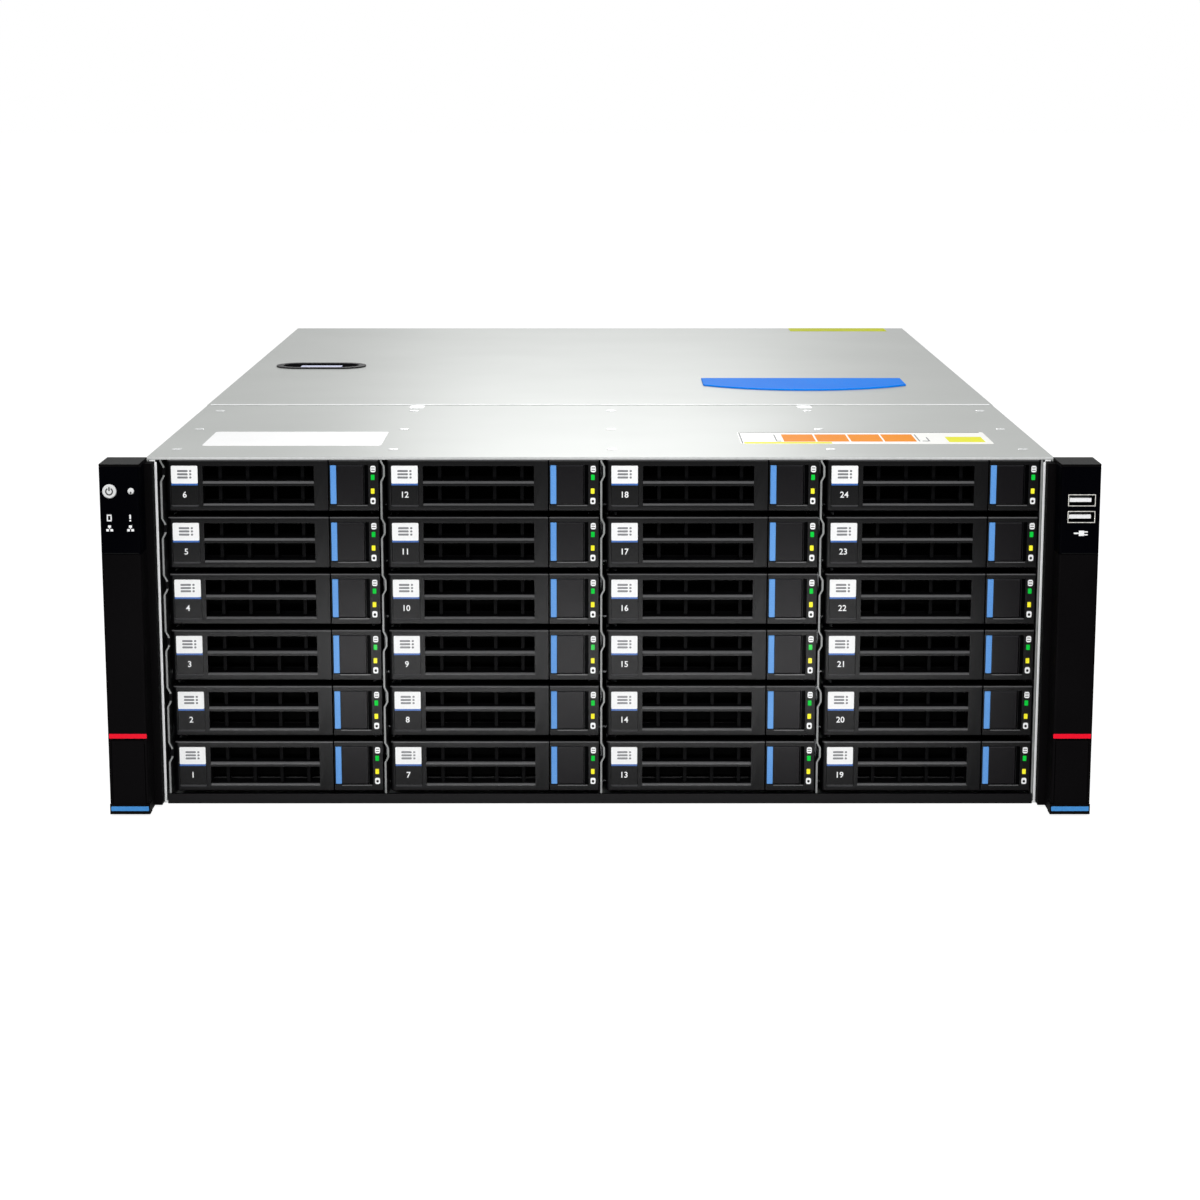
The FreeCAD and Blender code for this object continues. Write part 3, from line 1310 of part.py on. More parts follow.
# Shelf between the power supplies, with the side wall that carries it
shelf = new_body("supply_shelf")
SHELF_WALL_HIGH = f"({SHELF_LOW} + {SUPPLY_LOW} + supply_height + shelf_wall_rise)"
shelf_profile = [
    (SHELF_WALL, "steel"),
    (f"{SHELF_WALL} + steel", "steel"),
    (f"{SHELF_WALL} + steel", SHELF_LOW),
    (PAN_INNER, SHELF_LOW),
    (PAN_INNER, f"{SHELF_LOW} + steel"),
    (f"{SHELF_WALL} + steel", f"{SHELF_LOW} + steel"),
    (f"{SHELF_WALL} + steel", SHELF_WALL_HIGH),
    (SHELF_WALL, SHELF_WALL_HIGH),
]
SHELF_FRONT = f"({SUPPLY_FRONT} - shelf_lead)"
pad_back(shelf, [shelf_profile], SHELF_FRONT, f"{REAR_WALL} - {SHELF_FRONT}")
finish(shelf)

# Power supply: a long case with a mains inlet, an air hole and a pull handle
case = new_body("supply_case")
case_outline = rect("0", "0", "supply_width", "supply_height")
pad_back(case, [case_outline], SUPPLY_FRONT, "supply_length")
inlet_low = "((supply_height - inlet_height) / 2)"
inlet = rect("inlet_margin", inlet_low, "inlet_margin + inlet_width", f"{inlet_low} + inlet_height")
cut_back(case, [inlet], f"{SUPPLY_BACK} - inlet_depth", "inlet_depth + cut_past")
pins = []
for shift, lift in ((-1, 1), (0, -1), (1, 1)):
    pin_x = f"(inlet_margin + inlet_width / 2 + {shift} * inlet_pin_spread)"
    pin_z = f"(supply_height / 2 + {lift} * inlet_pin_lift)"
    half_wide = "inlet_pin_width / 2"
    half_high = "inlet_pin_height / 2"
    pin_right = f"{pin_x} + {half_wide}"
    pins.append(rect(f"{pin_x} - {half_wide}", f"{pin_z} - {half_high}", pin_right, f"{pin_z} + {half_high}"))
pad_back(case, pins, f"{SUPPLY_BACK} - inlet_depth", "inlet_pin_length")
grille = [("grille_place", "supply_height / 2", "grille_radius")]
cut_back(case, [], f"{SUPPLY_BACK} - grille_depth", "grille_depth + cut_past", grille)
pull = new_body("supply_pull")
pull_end = "(body_depth + rear_reach)"
pull_top = "(supply_height - pull_margin)"
pull_outline = [
    (SUPPLY_BACK, "pull_margin"),
    (pull_end, "pull_margin"),
    (pull_end, pull_top),
    (SUPPLY_BACK, pull_top),
    (SUPPLY_BACK, f"{pull_top} - pull_bar"),
    (f"{pull_end} - pull_bar", f"{pull_top} - pull_bar"),
    (f"{pull_end} - pull_bar", "pull_margin + pull_bar"),
    (SUPPLY_BACK, "pull_margin + pull_bar"),
]
pad_right(pull, [pull_outline], "pull_left", "pull_width")
finish(group("power_supply_1", [case, pull]), SUPPLY_LEFT, FRONT, SUPPLY_LOW)
finish(group("power_supply_2", [case, pull]), SUPPLY_LEFT, FRONT, f"{SHELF_LOW} + {SUPPLY_LOW}")

doc.recompute()
faults = [item.Label for item in doc.Objects if "Invalid" in item.State or "Error" in item.State]
for piece in pieces:
    if piece.Shape.isNull() or not piece.Shape.isValid() or not piece.Shape.Solids:
        faults.append(piece.Label)
if faults:
    raise RuntimeError("these did not build: " + ", ".join(faults))

os.makedirs("parts", exist_ok=True)
for piece in pieces:
    piece.Shape.exportStep(f"parts/{piece.Label}.step")
print(len(pieces), "sub-parts written")
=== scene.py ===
import math

import bmesh
import bpy
from mathutils import Matrix, Vector


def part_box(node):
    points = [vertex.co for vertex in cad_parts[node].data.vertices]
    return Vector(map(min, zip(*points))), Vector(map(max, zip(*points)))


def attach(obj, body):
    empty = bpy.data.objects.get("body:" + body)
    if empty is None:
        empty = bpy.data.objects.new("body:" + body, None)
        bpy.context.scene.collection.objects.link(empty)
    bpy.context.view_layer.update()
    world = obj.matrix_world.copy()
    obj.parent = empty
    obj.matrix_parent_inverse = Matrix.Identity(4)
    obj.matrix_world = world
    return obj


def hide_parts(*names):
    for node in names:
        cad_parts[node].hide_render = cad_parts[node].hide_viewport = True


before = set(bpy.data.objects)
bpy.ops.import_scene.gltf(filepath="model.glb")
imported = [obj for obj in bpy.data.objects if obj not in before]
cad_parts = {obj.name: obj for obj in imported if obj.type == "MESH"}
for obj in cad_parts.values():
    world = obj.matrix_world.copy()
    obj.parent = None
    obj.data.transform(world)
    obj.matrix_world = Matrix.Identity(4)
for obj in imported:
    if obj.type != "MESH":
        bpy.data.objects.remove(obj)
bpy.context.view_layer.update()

# Chassis pan: the folded tray under and beside everything, open at the top for the two covers.
# Zinc-coated sheet steel, cut, folded and riveted; the coating has a fine grain under a satin skin.
MM = 0.001
SAME_SPOT = 0.01
FLAT = math.radians(1)
CREASE = math.radians(40)
BEYOND = 300
PAN_LIP = 1


def tone(red, green, blue):
    """A colour as the eye reads it, 0 to 255 a channel, in the linear values that a shader takes."""
    shares = [channel / 255 for channel in (red, green, blue)]
    return [((share + 0.055) / 1.055) ** 2.4 if share > 0.04 else share / 12.92 for share in shares] + [1]


def add_node(tree, kind, inputs, **options):
    """Adds a shader node, sets its options, and sets or links its inputs."""
    made = tree.nodes.new("ShaderNode" + kind)
    for name, value in options.items():
        setattr(made, name, value)
    for name, value in inputs.items():
        if isinstance(value, bpy.types.NodeSocket):
            tree.links.new(value, made.inputs[name])
        else:
            made.inputs[name].default_value = value
    return made


def surface(name, dark, light, grain, gloss, relief, metal=0.0, specular=0.5, stretch=(1, 1, 1), mottle=60):
    """A finish in two tones, mixed by a grain and a slow mottle, in mm; the grain sets gloss and relief."""
    material = bpy.data.materials.new(name)
    material.use_nodes = True
    tree = material.node_tree
    shader = tree.nodes["Principled BSDF"]
    shader.inputs["Metallic"].default_value = metal
    shader.inputs["Specular IOR Level"].default_value = specular
    place = add_node(tree, "TexCoord", {}).outputs["Object"]
    drawn = add_node(tree, "Mapping", {"Vector": place, "Scale": stretch}).outputs["Vector"]
    fine_noise = add_node(tree, "TexNoise", {"Vector": drawn, "Scale": 1 / (grain * MM), "Detail": 2})
    slow_noise = add_node(tree, "TexNoise", {"Vector": place, "Scale": 1 / (mottle * MM), "Detail": 3})
    fine = fine_noise.outputs["Fac"]
    slow = slow_noise.outputs["Fac"]
    both = add_node(tree, "Math", {0: fine, 1: slow}, operation="ADD").outputs["Value"]
    share = add_node(tree, "MapRange", {"Value": both, "From Min": 0.7, "From Max": 1.3}).outputs["Result"]
    tones = add_node(tree, "ValToRGB", {"Fac": share})
    tones.color_ramp.elements[0].color = dark
    tones.color_ramp.elements[1].color = light
    tree.links.new(tones.outputs["Color"], shader.inputs["Base Color"])
    rough = add_node(tree, "MapRange", {"Value": fine, "From Min": 0.3, "From Max": 0.7,
                                        "To Min": gloss[0], "To Max": gloss[1]})
    tree.links.new(rough.outputs["Result"], shader.inputs["Roughness"])
    bump = add_node(tree, "Bump", {"Height": fine, "Strength": relief, "Distance": grain * MM / 4})
    tree.links.new(bump.outputs["Normal"], shader.inputs["Normal"])
    return material


def coat(name, *finishes):
    """Gives a CAD node its finishes."""
    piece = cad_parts[name]
    piece.data.materials.clear()
    for finish in finishes:
        piece.data.materials.append(finish)
    return piece


def dress(name, *finishes, edge):
    """Gives a CAD node its finishes, and the small radius, in mm, that its real edges have."""
    piece = coat(name, *finishes)
    piece.data.attributes.remove(piece.data.attributes["custom_normal"])
    piece.data.shade_smooth()
    joined = piece.modifiers.new("joined", "WELD")
    joined.merge_threshold = SAME_SPOT * MM
    whole = piece.modifiers.new("whole_faces", "DECIMATE")
    whole.decimate_type = "DISSOLVE"
    whole.angle_limit = FLAT
    whole.delimit = {"MATERIAL"}
    rounded = piece.modifiers.new("rounded_edges", "BEVEL")
    rounded.width = edge * MM
    rounded.segments = 2
    rounded.limit_method = "ANGLE"
    rounded.angle_limit = CREASE
    rounded.harden_normals = True
    return piece


def box_mm(name):
    """The lowest and highest corner of a CAD node, in mm."""
    low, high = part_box(name)
    return low / MM, high / MM


def repaint(piece, low, high, finish):
    """Gives another of its finishes to the faces of a node that lie wholly between two corners, in mm."""
    slot = piece.data.materials.find(finish.name)
    for face in piece.data.polygons:
        spots = [piece.data.vertices[i].co / MM for i in face.vertices]
        if all(low[k] - SAME_SPOT <= spot[k] <= high[k] + SAME_SPOT for spot in spots for k in range(3)):
            face.material_index = slot


zinc = surface("zinc_sheet", tone(160, 163, 163), tone(174, 177, 177),
               grain=0.8, gloss=(0.3, 0.42), relief=0.04, metal=0.5, mottle=90)
painted_highlight_zinc = surface("hem_zinc_painted_highlight", tone(236, 238, 238), tone(248, 249, 249),
                     grain=3, gloss=(0.3, 0.42), relief=0.03, specular=0.3)
front = box_mm("front_cover")[0].y
pan = dress("chassis_pan", zinc, painted_highlight_zinc, edge=0.4)
# The pan's front lip takes a far lighter zinc than the rest: a painted highlight along its front edge.
repaint(pan, (-BEYOND, front - PAN_LIP, 0), (BEYOND, front, BEYOND), painted_highlight_zinc)

# Drive cage: upright dividers between the columns of bays, with the ledges that the carriers run on, and
# a sill along the foot. Zinc-coated sheet with pressed springs at its front; the sill is moulded plastic.
# Behind its front faces the sheet is a dark zinc, as painted shade; the front faces keep a lighter grey.
SILL_OUT = 5
SILL_TOP = 8
cage_zinc_painted_shade = surface("cage_zinc_painted_shade", tone(46, 47, 48), tone(64, 65, 66),
                    grain=4, gloss=(0.35, 0.5), relief=0.03, metal=0.7, specular=0.2)
edge_zinc = surface("divider_edge", tone(112, 114, 113), tone(140, 142, 141),
                    grain=4, gloss=(0.35, 0.5), relief=0.03, specular=0.2)
sill_black = surface("sill_plastic", tone(5, 5, 6), tone(10, 9, 11),
                     grain=0.4, gloss=(0.42, 0.6), relief=0.2, specular=0.04)
cage = dress("drive_cage", cage_zinc_painted_shade, sill_black, edge_zinc, edge=0.15)
repaint(cage, (-BEYOND, front, 0), (BEYOND, front, BEYOND), edge_zinc)
repaint(cage, (-BEYOND, front - SILL_OUT, 0), (BEYOND, front, SILL_TOP), sill_black)

# Backplane: the upright board behind the bays that the drives plug into, with one connector a bay.
# Green solder mask on glass fibre, and black moulded connectors soldered to it.
board_green = surface("solder_mask", tone(16, 72, 40), tone(26, 98, 56),
                      grain=1.2, gloss=(0.3, 0.42), relief=0.1, mottle=20)
connector_black = surface("connector_plastic", tone(16, 16, 18), tone(28, 28, 30),
                          grain=0.4, gloss=(0.4, 0.55), relief=0.2)
dress("backplane_board", board_green, edge=0.2)
dress("backplane_connectors", connector_black, edge=0.3)

# Bay stops: black rubber pads on the springs of the left wall, one to each row of bays.
# Moulded, and pressed on from the front.
BAYS = 24
ROWS = 6
STOP = (1.7, 3.6, 1.2)
STOP_ROUND = 0.3
STOP_OUT = 2.1
STOP_PROUD = 0.3
STOP_DROP = 5.7
SPECK = 0.002
BENT = math.radians(35)
FACING_FRONT = Matrix.Rotation(math.radians(90), 4, "X")
handle_low, handle_high = box_mm("carrier_handle")
handle_width, handle_depth, bezel_height = handle_high - handle_low
bay_corners = {bay: box_mm(f"drive_carrier_{bay:02d}")[0] for bay in range(1, BAYS + 1)}


def at_front(x, y, z):
    """A place for a shape that is made lying on its back: it stands up, its face to the front, in mm."""
    return Matrix.Translation((x, y, z)) @ FACING_FRONT


def raise_faces(shape, faces, thick):
    """Extrudes flat faces up by a thickness into a closed solid."""
    made = bmesh.ops.extrude_face_region(shape, geom=faces)["geom"]
    lifted = [part for part in made if isinstance(part, bmesh.types.BMVert)]
    bmesh.ops.translate(shape, vec=(0, 0, thick), verts=lifted)
    bmesh.ops.recalc_face_normals(shape, faces=shape.faces)


def inside(spot, area):
    """Whether a spot lies in an area given by its lower left and upper right corners."""
    (left, low), (right, high) = area
    return left < spot.x < right and low < spot.y < high


def cut_plate(width, height, depth, areas=(), holes=()):
    """A plate from the corner at the origin, its face at height 0, with holes and with areas seamed off."""
    shape = bmesh.new()
    bmesh.ops.create_grid(shape, x_segments=1, y_segments=1, size=0.5)
    bmesh.ops.translate(shape, vec=(0.5, 0.5, -depth), verts=shape.verts)
    bmesh.ops.scale(shape, vec=(width, height, 1), verts=shape.verts)
    for corner in [corner for area in (*areas, *holes) for corner in area]:
        for reach, way in zip(corner, ((1, 0, 0), (0, 1, 0))):
            everything = shape.verts[:] + shape.edges[:] + shape.faces[:]
            bmesh.ops.bisect_plane(shape, geom=everything, plane_co=Vector(way) * reach, plane_no=way)
    gone = [face for face in shape.faces if any(inside(face.calc_center_median(), hole) for hole in holes)]
    bmesh.ops.delete(shape, geom=gone, context="FACES")
    raise_faces(shape, shape.faces[:], depth)
    return shape


def drop_specks(shape):
    """Takes out the edges and faces of no size that a rounding can leave."""
    bmesh.ops.dissolve_degenerate(shape, dist=SPECK, edges=shape.edges[:])


def soften(shape, radius, segments=2, test=lambda spot: True):
    """Rounds the sharp edges whose two ends both pass a test."""
    sharp = [edge for edge in shape.edges if edge.is_manifold and edge.calc_face_angle() > BENT
             and all(test(vert.co) for vert in edge.verts)]
    bmesh.ops.bevel(shape, geom=sharp, offset=radius, affect="EDGES", segments=segments, profile=0.5,
                    material=-1)
    drop_specks(shape)


def slab(width, height, depth, radius):
    """A block with rounded edges, its face at height 0."""
    shape = cut_plate(width, height, depth)
    soften(shape, radius)
    return shape


def lay(target, shape, place, slot=None):
    """Moves a shape to its place, in mm, and adds it to another, with one of that piece's finishes."""
    shape.transform(place)
    if slot is not None:
        for face in shape.faces:
            face.material_index = slot
    held = bpy.data.meshes.new("held")
    shape.to_mesh(held)
    shape.free()
    target.from_mesh(held)
    bpy.data.meshes.remove(held)


def make_piece(name, shape, finishes, body, replaces=()):
    """Turns a shape in mm into a piece of the object, in metres, that rides on a body."""
    drop_specks(shape)
    bmesh.ops.scale(shape, vec=(MM, MM, MM), verts=shape.verts)
    mesh = bpy.data.meshes.new(name)
    shape.to_mesh(mesh)
    shape.free()
    mesh.shade_smooth()
    mesh.set_sharp_from_angle(angle=CREASE)
    for finish in finishes:
        mesh.materials.append(finish)
    piece = bpy.data.objects.new(name, mesh)
    bpy.context.scene.collection.objects.link(piece)
    level = piece.modifiers.new("level_faces", "WEIGHTED_NORMAL")
    level.keep_sharp = True
    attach(piece, body)
    if replaces:
        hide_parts(*replaces)
    return piece


black_and_painted_shade = surface("rib_plastic_and_painted_shade", tone(4, 4, 5), tone(9, 9, 10),
                    grain=0.5, gloss=(0.4, 0.5), relief=0.2, specular=0.01)
stops = bmesh.new()
for bay in range(1, ROWS + 1):
    level = bay_corners[bay].z + bezel_height - STOP_DROP
    place = at_front(bay_corners[bay].x - STOP_OUT, front - STOP_PROUD, level - STOP[1] / 2)
    lay(stops, slab(*STOP, STOP_ROUND), place)
make_piece("bay_stops", stops, (black_and_painted_shade,), "chassis")

# Carrier handle: the hinged front of a drive carrier, moulded in grained black plastic. It has two long
# windows with a rounded sill under each and ribs behind them, and a shallow recess that holds a white card
# with a blue foot and a plain mark of stacked drives.
HANDLE_CORNER = 2
HANDLE_ROUND = 0.55
WINDOWS = (((17.9, 3.7), (72.4, 12.5)), ((17.9, 14.8), (72.4, 22.4)))
SILL_ROUND = 1.1
RECESS = ((2.2, 2.8), (15.8, 22.7))
RECESS_HIGHLIGHT = ((2.8, 2.1), (15.4, 2.8))
RECESS_SINK = 0.4
RECESS_DRAFT = 0.2
LABEL_ROOM = ((2, 2.5), (16, 23))
LABEL_DEPTH = 1
HIGHLIGHT_RISE = 0.12
CARD = ((2.4, 13.7), (15.4, 22.5))
CARD_FOOT = ((2.4, 12.8), (15.4, 13.7))
CARD_THICK = 0.25
CARD_CORNER = 0.5
STRIP_CORNER = 0.2
INK = 0.04
MARK_ROWS = 3
MARK_LOW = 16.2
MARK_PITCH = 1.6
MARK_HEIGHT = 1
MARK_SPANS = ((5.4, 10.6), (11.3, 12.4))
MARK_CORNER = 0.4
RIBS = 4
RIB_FIRST = 25.9
RIB_PITCH = 13.5
RIB_BACK = 4
RIB_THICK = 1.8
RIB_OVERLAP = 0.2
RIB_ROUND = 0.2
SQUARE_ON = 0.99
UPRIGHT = 0.9
TILTED = 0.2


def clear_seams(shape):
    """Takes out the cuts that lie in flat faces of one finish, always in the same order."""
    verts = sorted(shape.verts, key=lambda vert: tuple(vert.co))
    edges = sorted(shape.edges, key=lambda edge: tuple(edge.verts[0].co + edge.verts[1].co))
    bmesh.ops.dissolve_limit(shape, angle_limit=FLAT, verts=verts, edges=edges, delimit={"MATERIAL"})


def pocket(shape, area, depth, draft, slot=0):
    """Sinks an area of a plate's face, with slightly sloped walls, and gives its floor a finish."""
    floor_faces = [face for face in shape.faces
                   if face.normal.z > SQUARE_ON and inside(face.calc_center_median(), area)]
    bmesh.ops.inset_region(shape, faces=floor_faces, thickness=draft, depth=-depth)
    for face in floor_faces:
        face.material_index = slot


def plate(width, height, thick, corner):
    """A thin card with rounded corners, flat on its back, centred."""
    shape = bmesh.new()
    bmesh.ops.create_grid(shape, x_segments=1, y_segments=1, size=0.5)
    bmesh.ops.scale(shape, vec=(width, height, 1), verts=shape.verts)
    bmesh.ops.bevel(shape, geom=shape.verts[:], offset=corner, affect="VERTICES", segments=4, profile=0.5,
                    material=-1)
    raise_faces(shape, shape.faces[:], thick)
    return shape


def card_on(target, area, rise, thick, corner, slot):
    """Lays a thin card on a face, over an area given by two corners."""
    (left, low), (right, high) = area
    place = Matrix.Translation(((left + right) / 2, (low + high) / 2, rise))
    lay(target, plate(right - left, high - low, thick, corner), place, slot)


def at_face(spot):
    """Whether a spot lies in a plate's front face."""
    return spot.z > -SAME_SPOT


def on_outside(spot):
    """Whether a spot lies outside the label's recess and off the windows' ends."""
    (left, low), (right, high) = LABEL_ROOM
    in_recess = left < spot.x < right and spot.z > -LABEL_DEPTH
    at_end = any(abs(spot.x - end) < SAME_SPOT for end, _ in WINDOWS[0])
    return not (low < spot.y < high and (in_recess or at_end))


def is_lip(face):
    """Whether a face is part of a rounding that looks up and to the front."""
    return face.normal.y > TILTED and face.normal.z > TILTED


def is_shaded(face):
    """Whether a face looks straight up, or down, where little light reaches it."""
    return face.normal.y > UPRIGHT or face.normal.y < -TILTED


bezel_black = surface("bezel_plastic", tone(3, 3, 4), tone(7, 7, 8),
                      grain=0.5, gloss=(0.32, 0.39), relief=0.2, specular=0.05)
lip_painted_highlight = surface("lip_plastic_painted_highlight", tone(70, 70, 71), tone(86, 86, 87),
                    grain=0.5, gloss=(0.3, 0.4), relief=0.1, specular=0.12)
ledge_painted_highlight = surface("ledge_plastic_painted_highlight", tone(40, 40, 42), tone(54, 54, 56),
                      grain=0.5, gloss=(0.4, 0.5), relief=0.1, specular=0.03)
card_white = surface("card_white", tone(243, 244, 244), tone(252, 252, 252),
                     grain=0.8, gloss=(0.4, 0.5), relief=0.05, specular=0.1)
foot_blue = surface("card_blue", tone(26, 82, 158), tone(40, 102, 184),
                    grain=0.8, gloss=(0.4, 0.5), relief=0.05, specular=0.2)
ink_grey = surface("grey_ink", tone(92, 94, 98), tone(112, 114, 118),
                   grain=0.5, gloss=(0.5, 0.6), relief=0.05)
ink_white = surface("white_ink", tone(232, 233, 234), tone(248, 248, 248),
                    grain=0.5, gloss=(0.5, 0.6), relief=0.05)
handle_finishes = (bezel_black, card_white, foot_blue, ink_grey, ink_white, lip_painted_highlight, black_and_painted_shade,
                   ledge_painted_highlight)
handle = cut_plate(handle_width, bezel_height, handle_depth, (RECESS,), WINDOWS)
pocket(handle, RECESS, RECESS_SINK, RECESS_DRAFT)
clear_seams(handle)
soften(handle, HANDLE_CORNER, 5, lambda spot: spot.x < SAME_SPOT and at_face(spot))
for (left, sill), (right, _) in WINDOWS:
    soften(handle, SILL_ROUND, 3, lambda spot: abs(spot.y - sill) < SAME_SPOT and at_face(spot)
           and left - SAME_SPOT < spot.x < right + SAME_SPOT)
soften(handle, HANDLE_ROUND, test=on_outside)
# Faces that look straight up or down take near-black: painted shade. Up-facing roundings at the front take a
# lighter plastic: a painted highlight.
for face in handle.faces:
    if is_lip(face):
        face.material_index = handle_finishes.index(lip_painted_highlight)
    elif is_shaded(face):
        face.material_index = handle_finishes.index(black_and_painted_shade)
rib_low = WINDOWS[0][0][1] - RIB_OVERLAP
rib_height = WINDOWS[1][1][1] - WINDOWS[0][0][1] + 2 * RIB_OVERLAP
# The ribs behind the windows are near-black painted shade.
for rib in range(RIBS):
    place = Matrix.Translation((RIB_FIRST + rib * RIB_PITCH - RIB_THICK / 2, rib_low, -RIB_BACK))
    lay(handle, slab(RIB_THICK, rib_height, handle_depth - RIB_BACK, RIB_ROUND), place,
        handle_finishes.index(black_and_painted_shade))
card_on(handle, CARD, -RECESS_SINK, CARD_THICK, CARD_CORNER, handle_finishes.index(card_white))
card_on(handle, CARD_FOOT, -RECESS_SINK, CARD_THICK, STRIP_CORNER, handle_finishes.index(foot_blue))
# A grey strip under the label's recess is a painted highlight along its lower edge.
card_on(handle, RECESS_HIGHLIGHT, 0, HIGHLIGHT_RISE, STRIP_CORNER, handle_finishes.index(ledge_painted_highlight))
for row in range(MARK_ROWS):
    low = MARK_LOW + row * MARK_PITCH
    for left, right in MARK_SPANS:
        card_on(handle, ((left, low), (right, low + MARK_HEIGHT)), CARD_THICK - RECESS_SINK, INK,
                MARK_CORNER, handle_finishes.index(ink_grey))

# Carrier button: the blue touch bar and the dark push plate beside it, one moulding each, clipped together.
# Both are flush with the bezel and sink into it when pressed.
TOUCH_BAR = 3
TOUCH_ROUND = 0.3
BUTTON_ROUND = 0.35
button_black = surface("button_plastic", tone(4, 3, 5), tone(8, 6, 9),
                       grain=0.4, gloss=(0.32, 0.39), relief=0.2, specular=0.05)
touch_blue = surface("touch_blue", tone(86, 146, 218), tone(106, 166, 232),
                     grain=0.6, gloss=(0.36, 0.48), relief=0.1, specular=0.06)
button_finishes = (button_black, touch_blue, ledge_painted_highlight)
button_low, button_high = box_mm("carrier_button")
button_width, button_depth, button_height = button_high - button_low
button_place = Vector((button_low.x - bay_corners[BAYS].x, button_low.z - bay_corners[BAYS].z, 0))
button = slab(button_width - TOUCH_BAR, button_height, button_depth, BUTTON_ROUND)
# The push plate's up-facing roundings take a grey plastic: a painted highlight.
for face in button.faces:
    if is_lip(face):
        face.material_index = button_finishes.index(ledge_painted_highlight)
bmesh.ops.translate(button, vec=button_place + Vector((TOUCH_BAR, 0, 0)), verts=button.verts)
lay(button, slab(TOUCH_BAR, button_height, button_depth, TOUCH_ROUND), Matrix.Translation(button_place),
    button_finishes.index(touch_blue))

# Carrier tray, drive and lights: a moulded block at the right with the button's well, a dark slot and the
# lights, the front bar and two steel rails, and the drive screwed between them: a cast body with a pressed
# lid, a circuit board in its underside, and a black gasket over its front. The drive's front face and the
# gasket are near-black painted shade.
BLOCK_WIDTH = 24.5
BLOCK_DEPTH = 11
BLOCK_ROUND = 0.4
BLOCK_MIDDLE = ((0.2, 2), (24.2, 24))
WELL = ((0.45, 3.25), (17.25, 22.95))
WELL_DEPTH = 8.3
WELL_DRAFT = 0.01
DARK_SLOT = ((17.5, 3.25), (19.4, 22.95))
DARK_SLOT_SINK = 2
BUTTON_HIGHLIGHT = ((83.6, 2.6), (98.6, 3.1))
HIGHLIGHT_CORNER = 0.15
LENS_PROUD = 0.15
LENS_CORNER = 0.3
GREEN_LENS = ((100.4, 15.5), (102.2, 18.1))
AMBER_LENS = ((100.3, 8.7), (102.1, 11.3))
DISC_SIGN = (101.5, 20.9)
BUSY_SIGN = (101.3, 5.1)
SIGN_HALF = (1.25, 1.6)
SIGN_CORNER = 0.8
DISC_LINES = (-0.8, 0.4)
LINE_HALF = 0.9
LINE_HEIGHT = 0.35
LINE_CORNER = 0.15
BUSY_DOT = ((-0.6, -0.8), (0.6, 0.5))
DOT_CORNER = 0.5
RAIL = (1.2, 22.4, 145.5)
RAIL_ROUND = 0.25
RAIL_LOW = 1.5
BAR_DEPTH = 3.5
BAR_ROUND = 0.3
AIR = ((8, 3), (76, 19.5))
DRIVE_PLACE = (1.5, 0.2, -14.8)
DRIVE_BODY = (101.2, 23, 147)
DRIVE_CORNER = 4
DRIVE_ROUND = 0.3
LID_MARGIN = 1.5
LID_SLOPE = 0.3
LID_RISE = 2
BOARD_MARGIN = 2.5
BOARD_SLOPE = 0.2
BOARD_SINK = 0.8
GASKET = (94, 3, 4.5)
GASKET_ROUND = 0.4
GASKET_PLACE = (5, 22.9, -9.4)
carrier_width = box_mm(f"drive_carrier_{BAYS}")[1].x - bay_corners[BAYS].x


def lit_lens(name, dark, light, glow):
    """Tinted clear plastic, lit evenly from behind."""
    material = surface(name, dark, light, grain=0.8, gloss=(0.12, 0.2), relief=0.05, specular=0.02)
    shader = material.node_tree.nodes["Principled BSDF"]
    shader.inputs["Emission Color"].default_value = light
    shader.inputs["Emission Strength"].default_value = glow
    return material


drive_cast = surface("drive_casting", tone(138, 141, 144), tone(154, 157, 159),
                     grain=1.2, gloss=(0.35, 0.55), relief=0.15, metal=0.8)
drive_end_painted_shade = surface("drive_end_painted_shade", tone(1, 1, 1), tone(2, 2, 2),
                    grain=1, gloss=(0.5, 0.65), relief=0.1, specular=0.005)
window_black = surface("light_window", tone(1, 1, 2), tone(3, 3, 4),
                       grain=2, gloss=(0.25, 0.35), relief=0.02, specular=0.004)
lens_green = lit_lens("green_lens", tone(0, 148, 42), tone(16, 190, 58), glow=0.5)
lens_amber = lit_lens("amber_lens", tone(204, 192, 24), tone(240, 232, 56), glow=0.38)
tray_finishes = (bezel_black, zinc, drive_cast, window_black, lens_green, lens_amber, ink_white, drive_end_painted_shade,
                 board_green, lip_painted_highlight)
block = cut_plate(BLOCK_WIDTH, bezel_height, BLOCK_DEPTH, (WELL, DARK_SLOT))
pocket(block, WELL, WELL_DEPTH, WELL_DRAFT)
pocket(block, DARK_SLOT, DARK_SLOT_SINK, WELL_DRAFT, tray_finishes.index(window_black))
clear_seams(block)
soften(block, HANDLE_ROUND, test=lambda spot: spot.y > bezel_height - SAME_SPOT and at_face(spot))
soften(block, BLOCK_ROUND, test=lambda spot: not inside(spot, BLOCK_MIDDLE))
